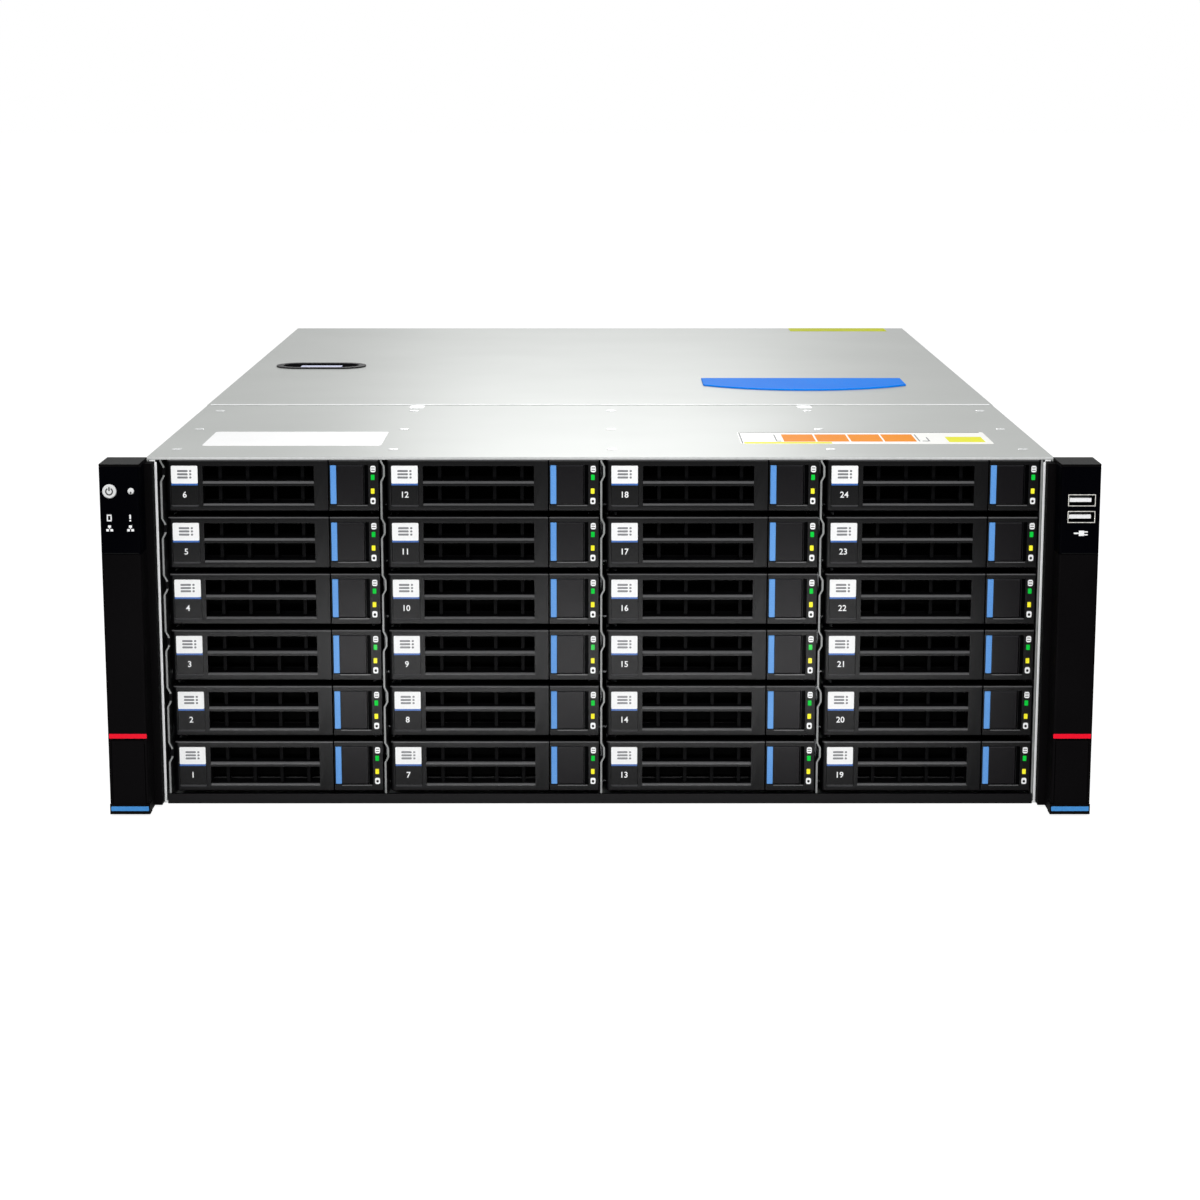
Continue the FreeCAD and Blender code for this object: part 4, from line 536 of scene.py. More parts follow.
# The block's faces that look straight up or down are near-black painted shade; its up-facing roundings are a
# painted highlight.
for face in block.faces:
    if is_shaded(face):
        face.material_index = tray_finishes.index(drive_end_painted_shade)
    elif is_lip(face):
        face.material_index = tray_finishes.index(lip_painted_highlight)
tray = bmesh.new()
lay(tray, block, Matrix.Translation((carrier_width - BLOCK_WIDTH, 0, 0)))
bar = cut_plate(carrier_width, RAIL[1], BAR_DEPTH, (), (AIR,))
clear_seams(bar)
soften(bar, BAR_ROUND)
lay(tray, bar, Matrix.Translation((0, RAIL_LOW, -BLOCK_DEPTH)), tray_finishes.index(bezel_black))
for left in (0, carrier_width - RAIL[0]):
    place = Matrix.Translation((left, RAIL_LOW, -BLOCK_DEPTH - BAR_DEPTH))
    lay(tray, slab(*RAIL, RAIL_ROUND), place, tray_finishes.index(zinc))
drive = cut_plate(*DRIVE_BODY)
corner_edges = [edge for edge in drive.edges if abs(edge.verts[0].co.y - edge.verts[1].co.y) > SAME_SPOT]
bmesh.ops.bevel(drive, geom=corner_edges, offset=DRIVE_CORNER, affect="EDGES", segments=4, profile=0.5,
                material=-1)
# The drive's front face is near-black painted shade.
for face in drive.faces:
    face.material_index = tray_finishes.index(drive_end_painted_shade if face.normal.z > SQUARE_ON else drive_cast)
lid = [face for face in drive.faces if face.normal.y > SQUARE_ON]
bmesh.ops.inset_region(drive, faces=lid, thickness=LID_MARGIN, depth=0)
bmesh.ops.inset_region(drive, faces=lid, thickness=LID_SLOPE, depth=LID_RISE)
under = [face for face in drive.faces if face.normal.y < -SQUARE_ON]
bmesh.ops.inset_region(drive, faces=under, thickness=BOARD_MARGIN, depth=0)
bmesh.ops.inset_region(drive, faces=under, thickness=BOARD_SLOPE, depth=-BOARD_SINK)
for face in under:
    face.material_index = tray_finishes.index(board_green)
soften(drive, DRIVE_ROUND)
lay(tray, drive, Matrix.Translation(DRIVE_PLACE))
lay(tray, slab(*GASKET, GASKET_ROUND), Matrix.Translation(GASKET_PLACE), tray_finishes.index(drive_end_painted_shade))
card_on(tray, GREEN_LENS, 0, LENS_PROUD, LENS_CORNER, tray_finishes.index(lens_green))
card_on(tray, AMBER_LENS, 0, LENS_PROUD, LENS_CORNER, tray_finishes.index(lens_amber))
# A thin grey strip under the button is a painted highlight.
card_on(tray, BUTTON_HIGHLIGHT, 0, HIGHLIGHT_RISE, HIGHLIGHT_CORNER, tray_finishes.index(lip_painted_highlight))
for x, z in (DISC_SIGN, BUSY_SIGN):
    card_on(tray, ((x - SIGN_HALF[0], z - SIGN_HALF[1]), (x + SIGN_HALF[0], z + SIGN_HALF[1])), 0, INK,
            SIGN_CORNER, tray_finishes.index(ink_white))
x, z = DISC_SIGN
for up in DISC_LINES:
    card_on(tray, ((x - LINE_HALF, z + up), (x + LINE_HALF, z + up + LINE_HEIGHT)), INK, INK, LINE_CORNER,
            tray_finishes.index(window_black))
x, z = BUSY_SIGN
card_on(tray, [(x + across, z + up) for across, up in BUSY_DOT], INK, INK, DOT_CORNER,
        tray_finishes.index(window_black))

# Carriers in their bays: each has its number in white ink. The last bay's handle swings and its button
# presses by themselves, so there the hinge's two ears on the tray are made as well.
NUMBER_PLACE = (8.8, 8.0)
NUMBER_SIZE = 4.2
NUMBER_WEIGHT = 0.012
HINGE_EAR = (4, 1.2, 13)
HINGE_ROUND = 0.3
HINGE_LEFT = 1
HINGE_LOWS = (0.3, 23.9)
HINGE_BACK = 1.5


def printed(text, size, thick):
    """Figures as a thin solid, centred, lying flat on their back."""
    line = bpy.data.curves.new("line", "FONT")
    line.body = text
    line.size = size
    line.offset = size * NUMBER_WEIGHT
    line.extrude = thick
    line.resolution_u = 3
    line.align_x = "CENTER"
    line.align_y = "CENTER"
    holder = bpy.data.objects.new("line", line)
    bpy.context.scene.collection.objects.link(holder)
    flat = bpy.data.meshes.new_from_object(holder.evaluated_get(bpy.context.evaluated_depsgraph_get()))
    shape = bmesh.new()
    shape.from_mesh(flat)
    bmesh.ops.remove_doubles(shape, verts=shape.verts, dist=SPECK / 2)
    bpy.data.objects.remove(holder)
    bpy.data.curves.remove(line)
    bpy.data.meshes.remove(flat)
    return shape


for bay, corner in bay_corners.items():
    node = f"drive_carrier_{bay:02d}"
    handle_node, button_node = ("carrier_handle", "carrier_button") if bay == BAYS else (node, node)
    own_tray = tray.copy()
    if bay == BAYS:
        for low in HINGE_LOWS:
            lay(own_tray, slab(*HINGE_EAR, HINGE_ROUND), Matrix.Translation((HINGE_LEFT, low, -HINGE_BACK)),
                tray_finishes.index(bezel_black))
    own_handle = handle.copy()
    lay(own_handle, printed(str(bay), NUMBER_SIZE, INK), Matrix.Translation((*NUMBER_PLACE, -RECESS_SINK)),
        handle_finishes.index(ink_white))
    own_button = button.copy()
    for shape in (own_tray, own_handle, own_button):
        shape.transform(at_front(*corner))
    make_piece(f"bay_{bay:02d}_tray", own_tray, tray_finishes, node, (node,))
    make_piece(f"bay_{bay:02d}_handle", own_handle, handle_finishes, handle_node,
               (handle_node,))
    make_piece(f"bay_{bay:02d}_button", own_button, button_finishes, button_node,
               (button_node,))
    coat(node, bezel_black)
coat("carrier_handle", bezel_black)
coat("carrier_button", button_black)
for template in (tray, handle, button):
    template.free()

# Fan wall: a steel partition with three large openings, each with a framed fan behind it.
# The frames and rotors are black glass-filled plastic; each rotor turns on its own shaft.
fan_black = surface("fan_plastic", tone(20, 20, 22), tone(34, 34, 36),
                    grain=0.6, gloss=(0.35, 0.5), relief=0.2)
dress("fan_wall", zinc, edge=0.3)
dress("fan_frames", fan_black, edge=0.4)
for fan in (1, 2, 3):
    dress(f"fan_rotor_{fan}", fan_black, edge=0.3)

# Mainboard: the circuit board on its standoffs, with memory modules, heatsinks and the storage controller.
# Green solder mask, black chips and sockets, and mill-finish aluminium fins.
BOARD_TOP = 10.6
MODULES = 8
MODULE_THICK = 1.4
CHIP = (9.5, 13, 0.9, 0.4)
CHIPS_A_SIDE = 9
CHIP_PITCH = 14
CHIP_LEVEL = 36
CONTROLLER_SINK = ((-72.3, 560, 51.6), (-65.2, 600, 91.6))
CONTROLLER_PLATE = 672
FACING_RIGHT = Matrix.Rotation(math.radians(90), 4, "Z") @ FACING_FRONT
FACING_LEFT = Matrix.Rotation(math.radians(-90), 4, "Z") @ FACING_FRONT


def from_front(area, left=0, low=0):
    """The two corners, in mm, of a block measured back from the front, and from a left and a low edge."""
    return [(left + x, front + y, low + z) for x, y, z in area]


fin_metal = surface("mill_aluminium", tone(168, 170, 172), tone(205, 207, 208),
                    grain=2, gloss=(0.25, 0.4), relief=0.1, metal=0.9, stretch=(1, 0.1, 1))
board = dress("mainboard", board_green, connector_black, edge=0.15)
low, high = box_mm("mainboard")
repaint(board, (low.x, low.y, BOARD_TOP), high, connector_black)
repaint(board, (low.x, low.y, BOARD_TOP), (high.x, high.y, BOARD_TOP), board_green)
dress("heatsinks", fin_metal, edge=0.15)
dress("memory_modules", board_green, edge=0.15)
low, high = box_mm("memory_modules")
module_pitch = (high.x - low.x - MODULE_THICK) / (MODULES - 1)
chips = bmesh.new()
for module in range(MODULES):
    left = low.x + module * module_pitch
    for step in range(CHIPS_A_SIDE):
        y = (low.y + high.y) / 2 + (step - CHIPS_A_SIDE // 2) * CHIP_PITCH
        lay(chips, plate(*CHIP), Matrix.Translation((left + MODULE_THICK, y, CHIP_LEVEL)) @ FACING_RIGHT)
        lay(chips, plate(*CHIP), Matrix.Translation((left, y, CHIP_LEVEL)) @ FACING_LEFT)
make_piece("memory_chips", chips, (connector_black,), "chassis")
controller = dress("storage_controller", board_green, zinc, fin_metal, edge=0.15)
low, high = box_mm("storage_controller")
repaint(controller, (low.x, front + CONTROLLER_PLATE, low.z), high, zinc)
repaint(controller, *from_front(CONTROLLER_SINK), fin_metal)

# Rear panel: the back wall with air slots, slot covers, sockets and the shelf that the power supplies slide
# on. Zinc sheet with punched openings; the sockets have nickel shells, and their throats and pin holes are
# painted near-black as shade.
PANEL_FACE = 680
NETWORK_THROATS = [((x, 669, 13.1), (x + 12, 681, 21.6)) for x in (57, 77, 97)]
BUS_THROATS = [((29.8, 669, z), (42.2, 681, z + 5)) for z in (12.3, 19.5)]
BUS_TONGUES = [((30.5, 669, z), (41.5, 680, z + 1.8)) for z in (13.9, 21.1)]
SCREEN_FACE = ((-5.5, 684, 13.1), (10.5, 684, 21.1))
PIN_LEVELS = (19.3, 17.1, 14.9)
PINS = 5
PIN_PITCH = 2.3
PIN_HOLE = (1, 1, INK, 0.48)
CONTROLLER_PORT = (10, 24, 2.2)
CONTROLLER_THROAT = ((1, 1), (9, 23))
CONTROLLER_LOWS = (36, 78)
CONTROLLER_SLOT = 6
PORT_PROUD = 1
PORT_SINK = 1.8
PORT_DRAFT = 0.05
SLOTS = 7
SLOT_FIRST = -195
SLOT_PITCH = 20.32
SLOT_SCREW = 126
HEAD_RADIUS = 2.5
HEAD_RISE = 0.25
HEAD_ROUND = 0.2
CROSS_HALF = 0.45
CROSS_REACH = 1.5
CROSS_DRAFT = 0.08
CROSS_SINK = 0.2
FACING_REAR = Matrix.Rotation(math.radians(180), 4, "Z") @ FACING_FRONT


def at_rear(x, back, z):
    """A place, measured back from the front, for a shape made lying on its back: its face is to the rear."""
    return Matrix.Translation((x, front + back, z)) @ FACING_REAR


def screw_head():
    """A low round head with a rounded rim and a cross cut into it."""
    head = bmesh.new()
    bmesh.ops.create_circle(head, cap_ends=True, segments=20, radius=HEAD_RADIUS)
    raise_faces(head, head.faces[:], HEAD_RISE)
    rim = [edge for edge in head.edges if all(vert.co.z > HEAD_RISE / 2 for vert in edge.verts)]
    bmesh.ops.bevel(head, geom=rim, offset=HEAD_ROUND, affect="EDGES", segments=2, profile=0.5, material=-1)
    for reach in (CROSS_HALF, -CROSS_HALF, CROSS_REACH, -CROSS_REACH):
        for way in ((1, 0, 0), (0, 1, 0)):
            top = [face for face in head.faces if face.normal.z > SQUARE_ON]
            top_edges = {edge for face in top for edge in face.edges}
            top_verts = {vert for face in top for vert in face.verts}
            bmesh.ops.bisect_plane(head, geom=top + list(top_edges) + list(top_verts),
                                   plane_co=Vector(way) * reach, plane_no=way)
    cross = []
    for face in head.faces:
        spot = face.calc_center_median()
        narrow, wide = sorted((abs(spot.x), abs(spot.y)))
        if face.normal.z > SQUARE_ON and narrow < CROSS_HALF and wide < CROSS_REACH:
            cross.append(face)
    bmesh.ops.inset_region(head, faces=cross, thickness=CROSS_DRAFT, depth=-CROSS_SINK)
    return head


nickel = surface("nickel", tone(176, 174, 168), tone(214, 212, 206),
                 grain=1.5, gloss=(0.18, 0.32), relief=0.03, metal=1.0)
throat_black_and_painted_shade = surface("socket_throat_and_painted_shade", tone(3, 3, 4), tone(7, 7, 8),
                       grain=0.6, gloss=(0.5, 0.6), relief=0.05, specular=0.08)
screw_zinc = surface("screw_zinc", tone(196, 199, 198), tone(220, 222, 222),
                     grain=0.8, gloss=(0.24, 0.36), relief=0.05, metal=0.8)
dress("rear_panel", zinc, edge=0.2)
dress("slot_covers", zinc, edge=0.2)
dress("supply_shelf", zinc, edge=0.3)
sockets = dress("rear_sockets", nickel, throat_black_and_painted_shade, touch_blue, edge=0.15)
for area in NETWORK_THROATS + BUS_THROATS:
    repaint(sockets, *from_front(area), throat_black_and_painted_shade)
for area in BUS_TONGUES + [SCREEN_FACE]:
    repaint(sockets, *from_front(area), touch_blue)
pins = bmesh.new()
middle = (SCREEN_FACE[0][0] + SCREEN_FACE[1][0]) / 2
for z in PIN_LEVELS:
    for pin in range(PINS):
        x = middle + (pin - (PINS - 1) / 2) * PIN_PITCH
        lay(pins, plate(*PIN_HOLE), at_rear(x, SCREEN_FACE[0][1], z))
make_piece("screen_pin_holes", pins, (throat_black_and_painted_shade,), "chassis")
controller_ports = bmesh.new()
port_finishes = (nickel, throat_black_and_painted_shade)
port_x = SLOT_FIRST + CONTROLLER_SLOT * SLOT_PITCH + CONTROLLER_PORT[0] / 2
for low in CONTROLLER_LOWS:
    port = cut_plate(*CONTROLLER_PORT, (CONTROLLER_THROAT,))
    pocket(port, CONTROLLER_THROAT, PORT_SINK, PORT_DRAFT, port_finishes.index(throat_black_and_painted_shade))
    clear_seams(port)
    lay(controller_ports, port, at_rear(port_x, PANEL_FACE + PORT_PROUD, low))
make_piece("controller_ports", controller_ports, port_finishes, "chassis")
slot_screws = bmesh.new()
for slot in range(SLOTS):
    lay(slot_screws, screw_head(), at_rear(SLOT_FIRST + slot * SLOT_PITCH, PANEL_FACE, SLOT_SCREW))
make_piece("slot_screws", slot_screws, (screw_zinc,), "chassis")

# Power supplies: two plug-in modules, one over the other, each with a mains inlet, a fan grille and a pull.
# Satin steel cases; the pull is a bent black bar, and bent wires guard the fan hole.
SUPPLY_FACE = 681.5
INLET = ((5, 666.5, 10), (32, 681.5, 30))
INLET_PINS = ((11.5, 23), (18.5, 17), (25.5, 23))
PIN_HALF = (1, 2.5)
FAN_HOLE = ((32.7, 678.5, 8.7), (55.3, 681.5, 31.3))
FAN_MIDDLE = (44, 20)
GUARD_RINGS = (3, 6, 9)
GUARD_WIRE = 0.9
GUARD_SINK = 1.4
SPOKE_LENGTH = 22
SPOKE_CORNER = 0.2
SPOKE_TURNS = (45, 135)
PULL = ((60, 681.5, 5), (69, 710, 35))
SUPPLY_LIGHT = (64.5, 37.7)
LIGHT_SIZE = 2.4
LIGHT_CORNER = 1.1


def ring(middle, width, thick, sweep=360):
    """A flat ring, or part of one, swept round from its square section and lying on its back."""
    shape = bmesh.new()
    bmesh.ops.create_grid(shape, x_segments=1, y_segments=1, size=0.5)
    bmesh.ops.scale(shape, vec=(width, thick, 1), verts=shape.verts)
    bmesh.ops.rotate(shape, cent=(0, 0, 0), matrix=FACING_FRONT.to_3x3(), verts=shape.verts)
    bmesh.ops.translate(shape, vec=(middle, 0, thick / 2), verts=shape.verts)
    whole = sweep == 360
    if whole:
        bmesh.ops.delete(shape, geom=shape.faces[:], context="FACES_ONLY")
    bmesh.ops.spin(shape, geom=shape.verts[:] + shape.edges[:] + shape.faces[:], cent=(0, 0, 0),
                   axis=(0, 0, 1), angle=math.radians(sweep), steps=sweep // 15, use_merge=whole)
    bmesh.ops.recalc_face_normals(shape, faces=shape.faces)
    return shape


supply_steel = surface("supply_case", tone(158, 160, 162), tone(172, 174, 176),
                       grain=2, gloss=(0.32, 0.46), relief=0.06, metal=0.85)
pull_black = surface("pull_plastic", tone(14, 14, 15), tone(24, 24, 26),
                     grain=0.5, gloss=(0.38, 0.5), relief=0.2)
guard_finishes = (nickel, lens_green)
for name in ("power_supply_1", "power_supply_2"):
    supply = dress(name, supply_steel, pull_black, throat_black_and_painted_shade, nickel, edge=0.3)
    low, high = box_mm(name)
    repaint(supply, *from_front(PULL, low.x, low.z), pull_black)
    repaint(supply, *from_front(INLET, low.x, low.z), throat_black_and_painted_shade)
    # The fan hole is painted near-black, as shade.
    repaint(supply, *from_front(FAN_HOLE, low.x, low.z), throat_black_and_painted_shade)
    for x, z in INLET_PINS:
        blade = ((x - PIN_HALF[0], INLET[0][1], z - PIN_HALF[1]),
                 (x + PIN_HALF[0], INLET[1][1], z + PIN_HALF[1]))
        repaint(supply, *from_front(blade, low.x, low.z), nickel)
    guard = bmesh.new()
    hub = at_rear(low.x + FAN_MIDDLE[0], SUPPLY_FACE - GUARD_SINK, low.z + FAN_MIDDLE[1])
    for radius in GUARD_RINGS:
        lay(guard, ring(radius, GUARD_WIRE, GUARD_WIRE), hub)
    for turn in SPOKE_TURNS:
        spoke = plate(SPOKE_LENGTH, GUARD_WIRE, GUARD_WIRE / 2, SPOKE_CORNER)
        lay(guard, spoke, hub @ Matrix.Rotation(math.radians(turn), 4, "Z"))
    light_place = at_rear(low.x + SUPPLY_LIGHT[0], SUPPLY_FACE, low.z + SUPPLY_LIGHT[1])
    lay(guard, plate(LIGHT_SIZE, LIGHT_SIZE, LENS_PROUD, LIGHT_CORNER), light_place,
        guard_finishes.index(lens_green))
    make_piece(f"{name}_guard", guard, guard_finishes, name)

# Rack brackets and ear housings: folded steel angles at both sides, behind tall hollow housings.
# The housings, panels and flaps are black moulded plastic with a fine grain.
ear_black = surface("ear_plastic", tone(8, 7, 8), tone(13, 12, 13),
                    grain=0.45, gloss=(0.42, 0.58), relief=0.25, specular=0.004)
crown_painted_highlight = surface("ear_crown_painted_highlight", tone(9, 10, 10), tone(15, 16, 16),
                      grain=0.45, gloss=(0.42, 0.58), relief=0.25, specular=0.022)
panel_black = surface("panel_plastic", tone(1, 1, 3), tone(4, 4, 7),
                      grain=0.6, gloss=(0.34, 0.46), relief=0.12, specular=0.002)
bracket_black = surface("bracket_paint", tone(14, 14, 15), tone(24, 24, 26),
                        grain=0.8, gloss=(0.4, 0.55), relief=0.2, specular=0.2)
dress("rack_brackets", bracket_black, edge=0.3)
for side in ("left", "right"):
    housing = dress(f"{side}_ear_housing", ear_black, crown_painted_highlight, edge=0.6)
    low, high = box_mm(f"{side}_ear_housing")
    # The housing's top face takes a glossier copy of the plastic: a painted sheen on the lit top.
    repaint(housing, (low.x, low.y, high.z), high, crown_painted_highlight)
    dress(f"{side}_ear_flap", ear_black, edge=0.4)
dress("control_panel", panel_black, edge=0.3)
dress("usb_panel", panel_black, edge=0.3)

# Ear stripes: a red line above each flap and a blue line across each flap's foot.
# Thin coloured strips set into the plastic, a little proud of it.
STRIPE_PROUD = 0.12
STRIPE_INSET = 1.2
STRIPE_CORNER = 0.3
RED_STRIPE = (39.4, 41.7)
BLUE_STRIPE = (2.8, 5.1)
stripe_red = surface("stripe_red", tone(238, 14, 40), tone(250, 24, 50),
                     grain=0.8, gloss=(0.35, 0.45), relief=0.1, specular=0.02)
stripe_blue = surface("stripe_blue", tone(60, 132, 200), tone(78, 150, 218),
                      grain=0.8, gloss=(0.35, 0.45), relief=0.1, specular=0.02)
for side in ("left", "right"):
    housing, flap = f"{side}_ear_housing", f"{side}_ear_flap"
    near, far = box_mm(flap)
    for colour, node, body, (low, high), finish in (("red", housing, "chassis", RED_STRIPE, stripe_red),
                                                    ("blue", flap, flap, BLUE_STRIPE, stripe_blue)):
        stripe = plate(far.x - near.x - STRIPE_INSET, high - low, STRIPE_PROUD, STRIPE_CORNER)
        stripe.transform(at_front((near.x + far.x) / 2, box_mm(node)[0].y, (low + high) / 2))
        make_piece(f"{side}_{colour}_stripe", stripe, (finish,), body)

# Control panel: the power button with its sign, the identify button, and four small status signs.
# The buttons are satin white plastic on springs; the signs are printed white on the panel.
DISH = 0.05
DISH_EDGE = 0.9
RIM_WIDTH = 0.7
RIM_ROUND = 0.35
POWER_RING = (1.6, 0.7, INK, 300)
POWER_TURN = 120
POWER_BAR = (0.75, 1.9, INK, 0.2)
POWER_BAR_UP = 1.2
IDENTIFY_MARK = (0.8, 1.2, INK, 0.3)
IDENTIFY_UP = 0.9
FRAME_BARS = ((-0.9, 0, 0.6, 2.6, 0.2), (0.9, 0, 0.6, 2.6, 0.2),
              (0, -1.35, 2.4, 0.6, 0.2), (0, 1.35, 2.4, 0.6, 0.2))
ALERT_BARS = ((0, 0.6, 0.8, 2.1, 0.2), (0, -1.3, 0.8, 0.8, 0.2))
LINK_BARS = ((0, 0.9, 1.5, 1.2, 0.2), (0, 0, 0.4, 0.8, 0.1),
             (-1, -0.9, 1.3, 1.2, 0.2), (1, -0.9, 1.3, 1.2, 0.2))
PANEL_SIGNS = ((-236.8, 148.9, FRAME_BARS), (-226.7, 148.9, ALERT_BARS),
               (-236.8, 143.8, LINK_BARS), (-226.7, 143.8, LINK_BARS))
panel_face = box_mm("control_panel")[0].y


def print_sign(target, x, z, bars):
    """Prints a sign on an ear's panel from bars: steps across and up, width, height and corner radius."""
    for across, up, width, height, corner in bars:
        lay(target, plate(width, height, INK, corner), at_front(x + across, panel_face, z + up))


button_white = surface("button_white", tone(212, 213, 213), tone(226, 227, 227),
                       grain=0.6, gloss=(0.28, 0.38), relief=0.06, specular=0.15)
sign_grey = surface("sign_grey", tone(16, 16, 18), tone(26, 26, 28),
                    grain=0.5, gloss=(0.4, 0.5), relief=0.05)
cap_finishes = (button_white, sign_grey)
low, high = box_mm("power_button")
power_middle = (low + high) / 2
power_radius = (high.x - low.x) / 2
power_length = high.y - low.y
cap = bmesh.new()
outline = [(0, -DISH), (power_radius - DISH_EDGE, -DISH), (power_radius - RIM_WIDTH, 0),
           (power_radius - RIM_ROUND, 0), (power_radius, -RIM_ROUND), (power_radius, -power_length),
           (0, -power_length)]
points = [cap.verts.new((radius, 0, rise)) for radius, rise in outline]
for first, second in zip(points, points[1:]):
    cap.edges.new((first, second))
bmesh.ops.spin(cap, geom=cap.verts[:] + cap.edges[:], cent=(0, 0, 0), axis=(0, 0, 1),
               angle=math.radians(360), steps=32, use_merge=True)
bmesh.ops.remove_doubles(cap, verts=cap.verts, dist=SPECK / 2)
bmesh.ops.recalc_face_normals(cap, faces=cap.faces)
cap.transform(at_front(power_middle.x, low.y, power_middle.z))
on_dish = at_front(power_middle.x, low.y + DISH, power_middle.z)
turned = Matrix.Rotation(math.radians(POWER_TURN), 4, "Z")
lay(cap, ring(*POWER_RING), on_dish @ turned, cap_finishes.index(sign_grey))
lay(cap, plate(*POWER_BAR), on_dish @ Matrix.Translation((0, POWER_BAR_UP, 0)),
    cap_finishes.index(sign_grey))
make_piece("power_button_cap", cap, cap_finishes, "power_button", ("power_button",))
coat("power_button", button_white)
dress("identify_button", button_white, edge=0.2)
low, high = box_mm("identify_button")
mark = plate(*IDENTIFY_MARK)
mark.transform(at_front((low.x + high.x) / 2, low.y, low.z + IDENTIFY_UP))
make_piece("identify_mark", mark, (sign_grey,), "identify_button")
signs = bmesh.new()
for x, z, bars in PANEL_SIGNS:
    print_sign(signs, x, z, bars)
make_piece("panel_signs", signs, (ink_white,), "chassis")

# Front sockets: two serial bus sockets in the right ear's panel, over a plain plug sign.
# Folded nickel shells round a white plastic tongue; the sign is printed, and the grey lines at the panels'
# lower seams are a painted highlight.
SOCKET_LEVELS = (157.5, 149.4)
TONGUE = ((-5.9, -1), (4.8, 1))
THROAT = ((-6.3, -2.55), (6.3, 2.55))
PLUG_LEVEL = 141.4
PLUG_BARS = ((-2.2, 0, 2.6, 0.7, 0.2), (0.3, 0, 2.6, 2.6, 0.2),
             (2.4, 0.7, 1.8, 0.6, 0.2), (2.4, -0.7, 1.8, 0.6, 0.2))
SEAM_INSET = 2.4
SEAM_HEIGHT = 0.35
SEAM_CORNER = 0.1
SEAM_UP = 0.4
tongue_white = surface("tongue_white", tone(226, 227, 228), tone(244, 244, 244),
                       grain=0.6, gloss=(0.4, 0.5), relief=0.05)
front_sockets = dress("usb_sockets", nickel, tongue_white, throat_black_and_painted_shade, edge=0.1)
low, high = box_mm("usb_sockets")
middle = (low.x + high.x) / 2
# The inside of each shell is painted near-black, as shade, round the white tongue.
for level in SOCKET_LEVELS:
    for (left, bottom), (right, top), finish in ((*THROAT, throat_black_and_painted_shade), (*TONGUE, tongue_white)):
        repaint(front_sockets, (middle + left, low.y, level + bottom),
                (middle + right, high.y, level + top), finish)
plug = bmesh.new()
print_sign(plug, middle, PLUG_LEVEL, PLUG_BARS)
make_piece("plug_sign", plug, (ink_white,), "chassis")
seams = bmesh.new()
for name in ("control_panel", "usb_panel"):
    low, high = box_mm(name)
    seam = plate(high.x - low.x - SEAM_INSET, SEAM_HEIGHT, INK, SEAM_CORNER)
    lay(seams, seam, at_front((low.x + high.x) / 2, panel_face, low.z + SEAM_UP))
make_piece("panel_seam_highlights", seams, (crown_painted_highlight,), "chassis")

# Covers: a fixed front cover over the bays and a rear cover that slides back and lifts off.
# Pale satin zinc sheet with rolled edges and turned-down sides, very finely grained.
FRONT_HEM = (1.25, 0.6, 0.2)
FRONT_HEM_INSET = 0.4
FRONT_HEM_OUT = 0.2
FRONT_HEM_DROP = 0.02
COVER_SHEEN = (0.2, 0.205, 0.2, 1)
cover_metal = surface("cover_zinc", tone(180, 183, 180), tone(189, 192, 189),
                      grain=0.8, gloss=(0.3, 0.37), relief=0.04, metal=0.25, specular=0.12, mottle=90)
cover_metal.node_tree.nodes["Principled BSDF"].inputs["Specular Tint"].default_value = COVER_SHEEN
pale_edge_painted_highlight = surface("cover_edge_painted_highlight", tone(192, 194, 193), tone(208, 210, 209),
                    grain=2, gloss=(0.3, 0.4), relief=0.03, specular=0.03)
dress("front_cover", cover_metal, edge=0.55)
dress("rear_cover", cover_metal, edge=0.55)
low, high = box_mm("front_cover")
# The bead along the front cover's front edge is a paler, non-metal copy of the zinc: a painted highlight.
cover_hem = slab(high.x - low.x - 2 * FRONT_HEM_INSET, *FRONT_HEM)
hem_low = high.z - FRONT_HEM[0] - FRONT_HEM_DROP
cover_hem.transform(at_front(low.x + FRONT_HEM_INSET, low.y - FRONT_HEM_OUT, hem_low))
make_piece("cover_hem", cover_hem, (pale_edge_painted_highlight,), "chassis")

# Cover latch: a black oval cup let into the rear cover, with a lever on a pin that draws the cover shut.
# The cup is moulded plastic, the lever satin anodised metal with a faint violet tint.
latch_black = surface("latch_plastic", tone(10, 10, 11), tone(18, 18, 20),
                      grain=0.5, gloss=(0.4, 0.55), relief=0.15, specular=0.035)
lever_metal = surface("lever_metal", tone(190, 196, 240), tone(212, 216, 250),
                      grain=0.8, gloss=(0.25, 0.36), relief=0.04, specular=0.2)
dress("latch_cup", latch_black, edge=0.4)
dress("cover_latch", lever_metal, edge=0.5)

# Cover grip: the blue touch pad where a hand pushes the cover back.
# Thin satin plastic with a bowed front edge, stuck to the sheet.
grip_blue = surface("grip_blue", tone(0, 124, 242), tone(4, 138, 250),
                    grain=0.7, gloss=(0.38, 0.5), relief=0.12, specular=0.005)
dress("cover_grip", grip_blue, edge=0.35)

